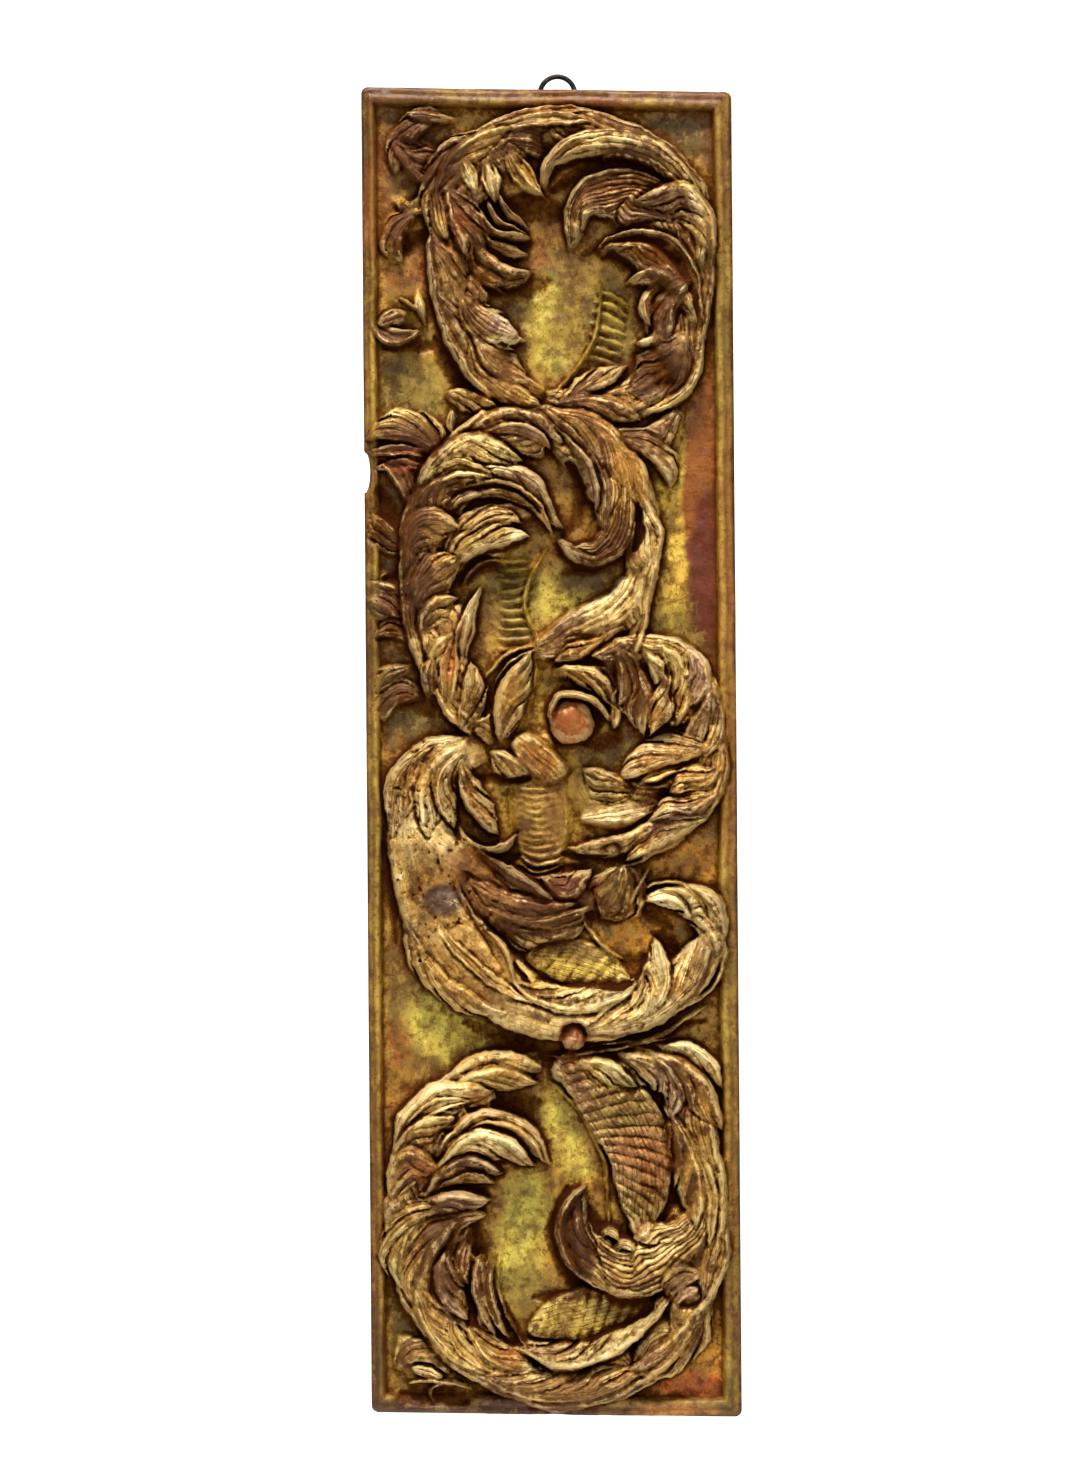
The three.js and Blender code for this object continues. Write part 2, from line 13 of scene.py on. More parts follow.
import bpy
import numpy as np
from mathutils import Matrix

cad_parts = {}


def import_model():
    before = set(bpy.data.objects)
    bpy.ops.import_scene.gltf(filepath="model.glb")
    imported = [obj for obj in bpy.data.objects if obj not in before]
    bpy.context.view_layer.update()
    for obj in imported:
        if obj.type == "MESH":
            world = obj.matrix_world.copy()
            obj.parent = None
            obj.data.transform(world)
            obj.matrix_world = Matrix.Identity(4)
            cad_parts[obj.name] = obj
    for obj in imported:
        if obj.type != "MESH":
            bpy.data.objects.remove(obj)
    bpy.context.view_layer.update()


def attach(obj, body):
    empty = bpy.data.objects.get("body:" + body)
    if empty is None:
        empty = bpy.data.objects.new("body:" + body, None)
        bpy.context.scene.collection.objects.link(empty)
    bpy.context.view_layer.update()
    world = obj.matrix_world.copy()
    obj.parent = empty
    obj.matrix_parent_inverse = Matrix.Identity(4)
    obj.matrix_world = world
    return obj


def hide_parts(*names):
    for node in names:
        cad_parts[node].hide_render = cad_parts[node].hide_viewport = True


LOG = logging.getLogger("frieze")
MM = 0.001

Point = tuple[float, float]
Array = np.ndarray
Colour = tuple[float, float, float]

# Sizes of the plank, in millimetres
PANEL_WIDTH = 264.0
PANEL_HEIGHT = 945.0
OUT_OF_SQUARE = 5.3
CORNER_RADIUS = 5.0
GROUND = 20.0
GRID_STEP = 0.75
# Border moulding: distance in from the edge, height over the sunk ground
MOULDING = (
    (0.0, 4.5), (0.8, 6.6), (2.2, 7.8), (4.2, 7.9), (5.6, 7.3), (6.3, 8.0), (7.2, 9.2), (9.0, 9.6),
    (11.2, 9.1), (12.3, 6.4), (13.5, 0.0),
)
BORDER_WIDTH = 13.5
LEFT_BORDER = 10.5
# Spacing of the fine gouge lines, mm
LINE = 3.1


class Kind(Enum):
    """The ways the carver shapes one form."""

    MASS = "rounded block left standing under finer work"
    ROLL = "plump rounded strand"
    RIM = "narrow rounded edge strand"
    CREST = "blade raised along one side"
    LEAF = "pointed leaf with a raised midrib"
    SCOOP = "leaf hollowed down its middle"
    LOBE = "rounded leaf lobe"
    RIBBED = "leaf furrowed along its length"
    SHELL = "cushion furrowed across"
    FAN = "long cushion furrowed across"
    RIDGE = "thin standing line"
    RIB = "short gouged rib"
    BALL = "round knob"
    PLUME_LEFT = "leaf with a smooth back and lobes hooking out to the left of its path"
    PLUME_RIGHT = "leaf with a smooth back and lobes hooking out to the right of its path"
    ACANTHUS = "leaf with a midrib and lobes to both sides"


@dataclass(frozen=True)
class Cut:
    """One carved form.

    Attributes:
        kind: How the form is shaped.
        width: Greatest width, mm.
        height: Height over the sunk ground, mm.
        path: Points the middle of the form runs through, mm from the panel's middle.
    """

    kind: Kind
    width: float
    height: float
    path: tuple[Point, ...]


@dataclass(frozen=True)
class Pit:
    """A hollow dug between the bodies and painted dark with shade.

    Attributes:
        width: Greatest width, mm.
        depth: How deep it is dug, mm.
        path: Points its middle runs through, mm.
    """

    width: float
    depth: float
    path: tuple[Point, ...]


@dataclass(frozen=True)
class Band:
    """A broad scroll body whose strands follow its outer edge and drift inwards.

    Attributes:
        edge: Points of the outer edge, in the direction of growth.
        widths: Width of the body at each of those points, mm.
        inward: +1 if the body lies to the left of the edge, -1 if to the right.
        height: Height over the sunk ground, mm.
        strands: Strands side by side across the body.
        drift: Strands by which the pattern moves inwards from start to end.
        tips: Number of leaf tips that break the inner edge.
        bite: How deep the gaps between those tips cut, as a share of the width.
        relief: Height of the strands over the grooves between them, mm.
        hood: Depth of the hollow its outer edge hangs over, mm; that hollow is painted dark as its shadow.
    """

    edge: tuple[Point, ...]
    widths: tuple[float, ...]
    inward: int
    height: float
    strands: float
    drift: float
    tips: float
    bite: float = 0.35
    relief: float = 2.0
    hood: float = 0.0


# Broad scroll bodies, from the top scroll down
BANDS = (
    Band(
        ((60, 236), (100, 260), (117, 310), (121, 360), (112, 405), (80, 438), (30, 459), (-30, 455), (-74, 430)),
        (30, 44, 52, 54, 50, 44, 38, 26, 12), +1, 18, 9, 2.2, 7, 0.30,
    ),
    Band(
        ((-4, 244), (-42, 252), (-73, 296), (-85, 345), (-82, 390), (-64, 426), (-28, 446), (4, 440)),
        (20, 38, 42, 44, 42, 42, 40, 24), -1, 18, 8, 2.0, 6, 0.30,
    ),
    Band(((-6, 244), (40, 234), (84, 244), (112, 284)), (18, 32, 34, 20), +1, 16, 5, 1.0, 3, 0.30),
    Band(
        (
            (-44, 4), (-78, 36), (-99, 90), (-107, 140), (-101, 178), (-80, 212), (-45, 238), (0, 247),
            (42, 230), (72, 192), (80, 150), (73, 108), (58, 70),
        ),
        (18, 30, 38, 42, 44, 44, 42, 40, 40, 38, 32, 22, 12), -1, 19, 8, 2.6, 13, 0.32,
    ),
    Band(
        ((16, 62), (56, 84), (98, 78), (121, 46), (125, 4), (117, -38), (90, -66), (50, -84)),
        (14, 26, 38, 44, 46, 46, 36, 16), -1, 18, 8, 2.2, 9, 0.34,
    ),
    Band(
        (
            (-50, 14), (-90, 2), (-116, -38), (-116, -90), (-100, -136), (-64, -178), (-12, -204),
            (50, -205), (98, -180), (122, -142), (117, -108),
        ),
        (24, 44, 54, 58, 56, 52, 46, 42, 40, 30, 14), +1, 23, 5, 1.6, 5, 0.10, 1.1,
    ),
    Band(
        ((-121, -330), (-116, -286), (-96, -248), (-58, -220), (-8, -213)),
        (40, 50, 50, 42, 18), -1, 20, 8, 2.0, 6, 0.32,
    ),
    Band(
        (
            (-112, -276), (-122, -322), (-118, -372), (-98, -412), (-64, -446), (-16, -466), (34, -465),
            (78, -444), (108, -404), (122, -352), (121, -300), (112, -252), (84, -216), (46, -206),
        ),
        (20, 46, 54, 50, 42, 38, 38, 38, 40, 42, 40, 38, 30, 14), +1, 20, 8, 2.6, 13, 0.30,
    ),
)

# Bundles of fine strands that curl over a hollow, laid on the bodies
BUNDLES = (
    Band(
        ((106, 346), (104, 378), (88, 402), (66, 415), (42, 416), (22, 405), (11, 384), (15, 358)),
        (12, 28, 42, 50, 50, 42, 26, 8), +1, 18, 13, 1.6, 3, 0.18, 2.8, 3.0,
    ),
    Band(
        ((112, 300), (109, 336), (97, 359), (79, 370), (60, 372), (43, 366), (33, 356)),
        (12, 22, 34, 42, 38, 24, 8), +1, 25, 9, 1.0, 2, 0.20, 2.8, 12.0,
    ),
    Band(
        ((112, 340), (115, 376), (103, 410), (80, 433), (50, 444), (20, 440), (-2, 424), (-6, 402)),
        (8, 13, 18, 20, 20, 20, 16, 6), +1, 26, 5, 2.0, 2, 0.10, 2.2,
    ),
    Band(
        ((116, -312), (109, -350), (85, -379), (56, -392), (30, -383), (14, -366), (8, -344), (14, -322)),
        (14, 34, 54, 60, 48, 40, 30, 10), -1, 24, 13, 1.4, 2, 0.10, 3.0,
    ),
    Band(
        ((-2, 242), (24, 228), (42, 206), (48, 180), (42, 154)),
        (8, 20, 24, 22, 8), -1, 20, 8, 1.5, 1, 0.10, 2.0,
    ),
    Band(
        ((36, 218), (54, 202), (63, 172), (56, 144), (36, 131), (14, 136), (4, 152)),
        (8, 18, 25, 29, 27, 18, 6), -1, 24, 10, 1.4, 2, 0.12, 2.6,
    ),
)

# Smaller blocks left standing at the margins
MASSES = (
    Cut(Kind.MASS, 52, 11, ((110, 330), (84, 372), (34, 402))),
    Cut(Kind.MASS, 40, 11, ((-58, 440), (-34, 412), (-14, 404))),
    Cut(Kind.MASS, 30, 12, ((-70, 370), (-46, 362), (-22, 356))),
    Cut(Kind.MASS, 26, 10, ((-56, 312), (-42, 290), (-20, 262))),
    Cut(Kind.MASS, 34, 7, ((-104, 444), (-92, 424), (-76, 408))),
    Cut(Kind.MASS, 34, 11, ((-124, 216), (-104, 206), (-94, 178))),
    Cut(Kind.MASS, 34, 14, ((-84, 176), (-44, 178), (-14, 168))),
    Cut(Kind.MASS, 30, 13, ((-84, 128), (-60, 142), (-26, 152))),
    Cut(Kind.MASS, 30, 13, ((56, 190), (48, 166), (26, 150))),
    Cut(Kind.MASS, 30, 11, ((0, 78), (30, 94), (60, 108))),
    Cut(Kind.MASS, 26, 7, ((-118, 130), (-112, 110), (-108, 90))),
    Cut(Kind.MASS, 56, 17, ((-76, -84), (-20, -108), (30, -106))),
    Cut(Kind.MASS, 48, 9, ((-6, 14), (-8, -36), (-8, -92))),
    Cut(Kind.MASS, 40, 8, ((16, -12), (34, -34), (64, -44))),
    Cut(Kind.MASS, 50, 13, ((-84, -290), (-56, -280), (-20, -280))),
    Cut(Kind.MASS, 40, 12, ((-84, -330), (-70, -350), (-62, -400))),
    Cut(Kind.MASS, 46, 14, ((100, -320), (76, -358), (30, -366))),
    Cut(Kind.MASS, 40, 12, ((104, -6), (70, -22), (34, -30))),
    Cut(Kind.MASS, 36, 12, ((30, 60), (56, 48), (76, 26))),
    Cut(Kind.MASS, 30, 8, ((-26, 12), (-6, -10), (8, -24))),
    Cut(Kind.MASS, 34, 8, ((-30, 10), (-26, 42), (-12, 72))),
    Cut(Kind.MASS, 26, 8, ((44, -226), (84, -214), (116, -222))),
    Cut(Kind.MASS, 22, 7, ((-114, -438), (-96, -440), (-70, -450))),
)

# Hollows dug between the bodies before the leaves are laid, from the top down, each painted dark as shade
PITS = (
    Pit(24, 14, ((-28, 392), (-8, 388), (16, 388))),
    Pit(14, 12, ((4, 402), (44, 418), (84, 404), (100, 384))),
    Pit(18, 14, ((26, 356), (58, 354), (92, 346))),
    Pit(24, 14, ((-46, 342), (-24, 332), (0, 336))),
    Pit(8, 8, ((-40, 366), (-26, 360), (-10, 364))),
    Pit(18, 10, ((-110, 362), (-98, 364), (-88, 372))),
    Pit(11, 10, ((-108, 390), (-96, 393), (-82, 398))),
    Pit(13, 8, ((-116, 290), (-98, 291), (-80, 290))),
    Pit(14, 10, ((-80, 296), (-66, 268), (-44, 248))),
    Pit(8, 10, ((70, 332), (76, 312), (72, 298))),
    Pit(24, 9, ((62, 282), (74, 270), (88, 262))),
    Pit(14, 12, ((14, 206), (22, 186), (10, 152))),
    Pit(12, 12, ((-60, 172), (-32, 182), (-6, 172))),
    Pit(8, 8, ((-72, 184), (-58, 190), (-44, 191))),
    Pit(15, 12, ((-64, 122), (-52, 132), (-34, 130))),
    Pit(15, 12, ((10, 128), (30, 134), (46, 144))),
    Pit(9, 8, ((62, 178), (64, 160), (60, 144))),
    Pit(11, 8, ((-118, 126), (-110, 126), (-104, 126))),
    Pit(18, 7, ((-122, 188), (-116, 170), (-124, 152))),
    Pit(12, 7, ((-122, 82), (-108, 87), (-96, 80))),
    Pit(9, 10, ((-4, 66), (18, 66), (38, 62))),
    Pit(10, 12, ((74, 64), (82, 40), (74, 12))),
    Pit(10, 10, ((30, 34), (34, 24), (28, 12))),
    Pit(16, 7, ((22, 8), (36, 6), (48, 16))),
    Pit(20, 12, ((-58, 40), (-52, 34), (-44, 30))),
    Pit(18, 7, ((-112, 36), (-98, 38), (-86, 28))),
    Pit(9, 10, ((-60, -16), (-38, -20), (-16, -20))),
    Pit(9, 12, ((48, -24), (74, -30), (98, -32))),
    Pit(13, 12, ((8, -72), (36, -76), (62, -74))),
    Pit(9, 12, ((-54, -68), (-40, -76), (-24, -76))),
    Pit(8, 8, ((-26, -84), (0, -84), (26, -80))),
    Pit(13, 12, ((24, -116), (40, -118), (58, -112))),
    Pit(14, 14, ((62, -110), (72, -118), (84, -128))),
    Pit(12, 12, ((70, -130), (80, -134), (88, -142))),
    Pit(14, 12, ((40, -148), (54, -150), (68, -148))),
    Pit(7, 8, ((-28, -150), (-8, -172), (28, -176), (62, -162))),
    Pit(9, 5, ((-116, -44), (-117, -90), (-112, -134))),
    Pit(14, 8, ((-64, -192), (-32, -206), (0, -216), (26, -218))),
    Pit(9, 7, ((24, -217), (62, -204), (108, -192))),
    Pit(18, 14, ((-42, -250), (-26, -251), (-10, -250))),
    Pit(9, 12, ((-74, -300), (-56, -296), (-36, -300))),
    Pit(16, 12, ((-58, -334), (-56, -346), (-52, -360))),
    Pit(11, 12, ((-62, -370), (-64, -390), (-56, -414))),
    Pit(14, 8, ((10, -312), (-1, -344), (10, -374), (32, -390))),
    Pit(12, 10, ((24, -326), (30, -338), (34, -346))),
    Pit(12, 9, ((38, -388), (62, -392), (84, -386))),
    Pit(10, 6, ((-16, -388), (0, -388), (14, -386))),
    Pit(8, 10, ((-38, -392), (-30, -412), (-14, -426))),
    Pit(8, 8, ((82, -262), (84, -280), (80, -300))),
    Pit(14, 6, ((62, -306), (76, -316), (88, -318))),
    Pit(16, 8, ((-112, -460), (-90, -458), (-64, -462))),
    Pit(7, 8, ((-14, -424), (14, -424), (44, -416))),
)

TOP_CUTS = (
    Cut(Kind.PLUME_RIGHT, 15, 13, ((-70, 456), (-96, 440), (-108, 412))),
    Cut(Kind.PLUME_LEFT, 17, 12, ((-112, 440), (-100, 420), (-80, 402))),
    Cut(Kind.LOBE, 9, 14, ((-62, 452), (-80, 452), (-100, 456))),
    Cut(Kind.LEAF, 16, 13, ((-72, 430), (-88, 424), (-102, 430))),
    Cut(Kind.SCOOP, 12, 14, ((-108, 400), (-98, 388), (-82, 396))),
    Cut(Kind.PLUME_RIGHT, 14, 12, ((-92, 384), (-104, 372), (-104, 350))),
    Cut(Kind.SCOOP, 14, 15, ((-126, 314), (-112, 297), (-92, 302))),
    Cut(Kind.LOBE, 12, 12, ((-96, 312), (-112, 310), (-122, 306))),
    Cut(Kind.RIDGE, 4, 12, ((-106, 325), (-98, 320), (-88, 314))),
    Cut(Kind.LEAF, 9, 15, ((-92, 332), (-91, 320), (-87, 304))),
    Cut(Kind.PLUME_RIGHT, 13, 15, ((-76, 255), (-58, 256), (-36, 244))),
    Cut(Kind.LEAF, 8, 13, ((-66, 250), (-70, 240), (-67, 224))),
    Cut(Kind.LEAF, 10, 14, ((-88, 233), (-81, 223), (-77, 208))),
    Cut(Kind.SCOOP, 12, 19, ((-70, 428), (-28, 449), (34, 456))),
    Cut(Kind.SCOOP, 11, 24, ((-44, 440), (-10, 449), (32, 447))),
    Cut(Kind.PLUME_LEFT, 20, 27, ((120, 350), (112, 384), (92, 399), (62, 392))),
    Cut(Kind.PLUME_LEFT, 12, 22, ((106, 306), (92, 332), (72, 340), (56, 334))),
    Cut(Kind.PLUME_RIGHT, 17, 22, ((104, 338), (92, 322), (84, 290))),
    Cut(Kind.LOBE, 10, 18, ((88, 336), (72, 326), (72, 304))),
    Cut(Kind.ACANTHUS, 26, 14, ((98, 300), (86, 274), (58, 256))),
    Cut(Kind.LOBE, 8, 15, ((82, 296), (72, 292), (62, 290))),
    Cut(Kind.ROLL, 9, 18, ((108, 300), (102, 262), (66, 240))),
    Cut(Kind.PLUME_LEFT, 13, 16, ((8, 248), (30, 258), (56, 274))),
    Cut(Kind.PLUME_RIGHT, 16, 17, ((2, 247), (34, 250), (66, 236))),
    Cut(Kind.PLUME_LEFT, 16, 16, ((94, 250), (66, 226), (30, 236))),
    Cut(Kind.RIM, 7, 21, ((-20, 446), (-64, 420), (-80, 374))),
    Cut(Kind.PLUME_RIGHT, 16, 22, ((-34, 442), (-66, 420), (-78, 364))),
    Cut(Kind.PLUME_LEFT, 17, 22, ((-84, 376), (-80, 330), (-60, 284))),
    Cut(Kind.ROLL, 9, 20, ((-80, 330), (-66, 286), (-38, 250))),
    Cut(Kind.ROLL, 8, 18, ((-64, 344), (-56, 306), (-36, 266))),
    Cut(Kind.PLUME_RIGHT, 15, 21, ((-80, 388), (-66, 424), (-26, 444))),
    Cut(Kind.LEAF, 13, 25, ((-60, 426), (-55, 411), (-52, 396))),
    Cut(Kind.LEAF, 14, 26, ((-44, 426), (-40, 408), (-38, 389))),
    Cut(Kind.PLUME_LEFT, 21, 26, ((-72, 404), (-66, 376), (-50, 346))),
    Cut(Kind.LOBE, 13, 22, ((-80, 404), (-78, 384), (-73, 364))),
    Cut(Kind.PLUME_LEFT, 15, 21, ((-82, 366), (-76, 344), (-64, 316))),
    Cut(Kind.LEAF, 18, 18, ((-30, 432), (-18, 412), (-1, 395))),
    Cut(Kind.CREST, 7, 22, ((-38, 408), (-30, 386), (-13, 372))),
    Cut(Kind.CREST, 7, 25, ((-44, 402), (-35, 377), (-14, 368))),
    Cut(Kind.CREST, 8, 27, ((-50, 394), (-39, 370), (-12, 366))),
    Cut(Kind.CREST, 8, 22, ((-50, 378), (-36, 360), (-13, 356))),
    Cut(Kind.PLUME_RIGHT, 16, 19, ((-54, 368), (-38, 348), (-12, 344))),
    Cut(Kind.LOBE, 12, 15, ((-56, 354), (-44, 340), (-30, 334))),
    Cut(Kind.PLUME_LEFT, 22, 20, ((-62, 330), (-52, 302), (-18, 292))),
    Cut(Kind.PLUME_LEFT, 18, 18, ((-54, 302), (-40, 276), (-14, 262))),
    Cut(Kind.LOBE, 22, 22, ((-60, 326), (-44, 306), (-22, 296))),
    Cut(Kind.LOBE, 20, 18, ((-44, 268), (-28, 254), (-6, 246))),
    Cut(Kind.RIDGE, 4, 8, ((38, 338), (35, 304), (-2, 250))),
)

SECOND_CUTS = (
    Cut(Kind.PLUME_RIGHT, 20, 15, ((-76, 206), (-100, 226), (-128, 224))),
    Cut(Kind.SCOOP, 9, 17, ((-80, 208), (-102, 216), (-128, 214))),
    Cut(Kind.SCOOP, 9, 16, ((-84, 200), (-104, 206), (-126, 203))),
    Cut(Kind.PLUME_RIGHT, 13, 14, ((-98, 160), (-104, 186), (-120, 208))),
    Cut(Kind.PLUME_LEFT, 14, 11, ((-100, 142), (-112, 156), (-126, 172))),
    Cut(Kind.PLUME_LEFT, 15, 11, ((-104, 96), (-112, 116), (-128, 122))),
    Cut(Kind.ACANTHUS, 15, 13, ((-100, 78), (-112, 100), (-130, 110))),
    Cut(Kind.PLUME_RIGHT, 12, 12, ((-96, 62), (-106, 84), (-126, 82))),
    Cut(Kind.LEAF, 9, 10, ((-96, 50), (-110, 60), (-124, 56))),
    Cut(Kind.RIM, 8, 18, ((-86, 200), (-52, 237), (-2, 242))),
    Cut(Kind.PLUME_RIGHT, 20, 20, ((-12, 246), (34, 234), (60, 206), (72, 170))),
    Cut(Kind.PLUME_LEFT, 16, 17, ((48, 224), (70, 212), (86, 188))),
    Cut(Kind.PLUME_RIGHT, 15, 22, ((-60, 226), (-24, 242), (10, 220))),
    Cut(Kind.CREST, 10, 21, ((-52, 222), (-24, 230), (2, 216))),
    Cut(Kind.PLUME_RIGHT, 19, 24, ((-92, 172), (-56, 200), (-16, 196), (10, 160))),
    Cut(Kind.CREST, 9, 22, ((-78, 178), (-34, 190), (2, 156))),
    Cut(Kind.CREST, 8, 19, ((-76, 176), (-40, 184), (-10, 172))),
    Cut(Kind.PLUME_RIGHT, 26, 28, ((-98, 166), (-80, 206), (-52, 222), (-20, 207))),
    Cut(Kind.SCOOP, 13, 27, ((-92, 178), (-68, 202), (-41, 196))),
    Cut(Kind.LOBE, 9, 18, ((-72, 172), (-60, 183), (-48, 184))),
    Cut(Kind.PLUME_LEFT, 15, 21, ((-78, 138), (-50, 160), (-20, 163))),
    Cut(Kind.PLUME_LEFT, 17, 24, ((-80, 130), (-48, 146), (-16, 154))),
    Cut(Kind.RIDGE, 4, 14, ((-64, 118), (-54, 132), (-36, 137))),
    Cut(Kind.PLUME_LEFT, 22, 20, ((-72, 200), (-97, 176), (-102, 130), (-98, 96))),
    Cut(Kind.PLUME_LEFT, 18, 20, ((-104, 140), (-100, 90), (-80, 36))),
    Cut(Kind.RIM, 9, 20, ((-84, 50), (-72, 28), (-54, 11))),
    Cut(Kind.RIM, 7, 18, ((-93, 112), (-88, 70), (-71, 32))),
    Cut(Kind.PLUME_RIGHT, 28, 23, ((-102, 138), (-92, 166), (-64, 160))),
    Cut(Kind.ACANTHUS, 20, 21, ((-100, 100), (-86, 124), (-66, 138))),
    Cut(Kind.PLUME_RIGHT, 16, 20, ((-92, 82), (-82, 108), (-66, 112))),
    Cut(Kind.PLUME_RIGHT, 13, 19, ((-88, 50), (-80, 78), (-68, 86))),
    Cut(Kind.SCOOP, 14, 22, ((-74, 26), (-73, 54), (-68, 84))),
    Cut(Kind.LEAF, 14, 25, ((-64, 56), (-60, 88), (-49, 120))),
    Cut(Kind.LOBE, 12, 20, ((-86, 38), (-88, 54), (-84, 68))),
    Cut(Kind.PLUME_RIGHT, 15, 22, ((-66, 10), (-60, 42), (-56, 66))),
    Cut(Kind.RIDGE, 4, 15, ((-64, 30), (-53, 22), (-42, 27))),
    Cut(Kind.RIDGE, 4, 15, ((-42, 30), (-40, 22), (-39, 12))),
    Cut(Kind.PLUME_RIGHT, 18, 21, ((-36, 4), (-34, 42), (-14, 70))),
    Cut(Kind.RIDGE, 4, 16, ((-46, 52), (-38, 64), (-11, 75))),
    Cut(Kind.RIDGE, 3, 15, ((-40, 50), (-33, 60), (-10, 72))),
    Cut(Kind.CREST, 8, 25, ((2, 232), (26, 204), (34, 172))),
    Cut(Kind.RIM, 6, 20, ((60, 190), (77, 158), (72, 122))),
    Cut(Kind.RIM, 6, 18, ((73, 134), (70, 106), (58, 68))),
    Cut(Kind.RIDGE, 4, 8, ((-2, 147), (-14, 122), (-18, 104), (-7, 77))),
    Cut(Kind.RIBBED, 30, 16, ((-12, 70), (22, 90), (50, 106), (64, 134))),
    Cut(Kind.RIBBED, 20, 14, ((-14, 70), (20, 76), (56, 92))),
    Cut(Kind.PLUME_RIGHT, 13, 15, ((40, 84), (22, 70), (2, 64))),
)

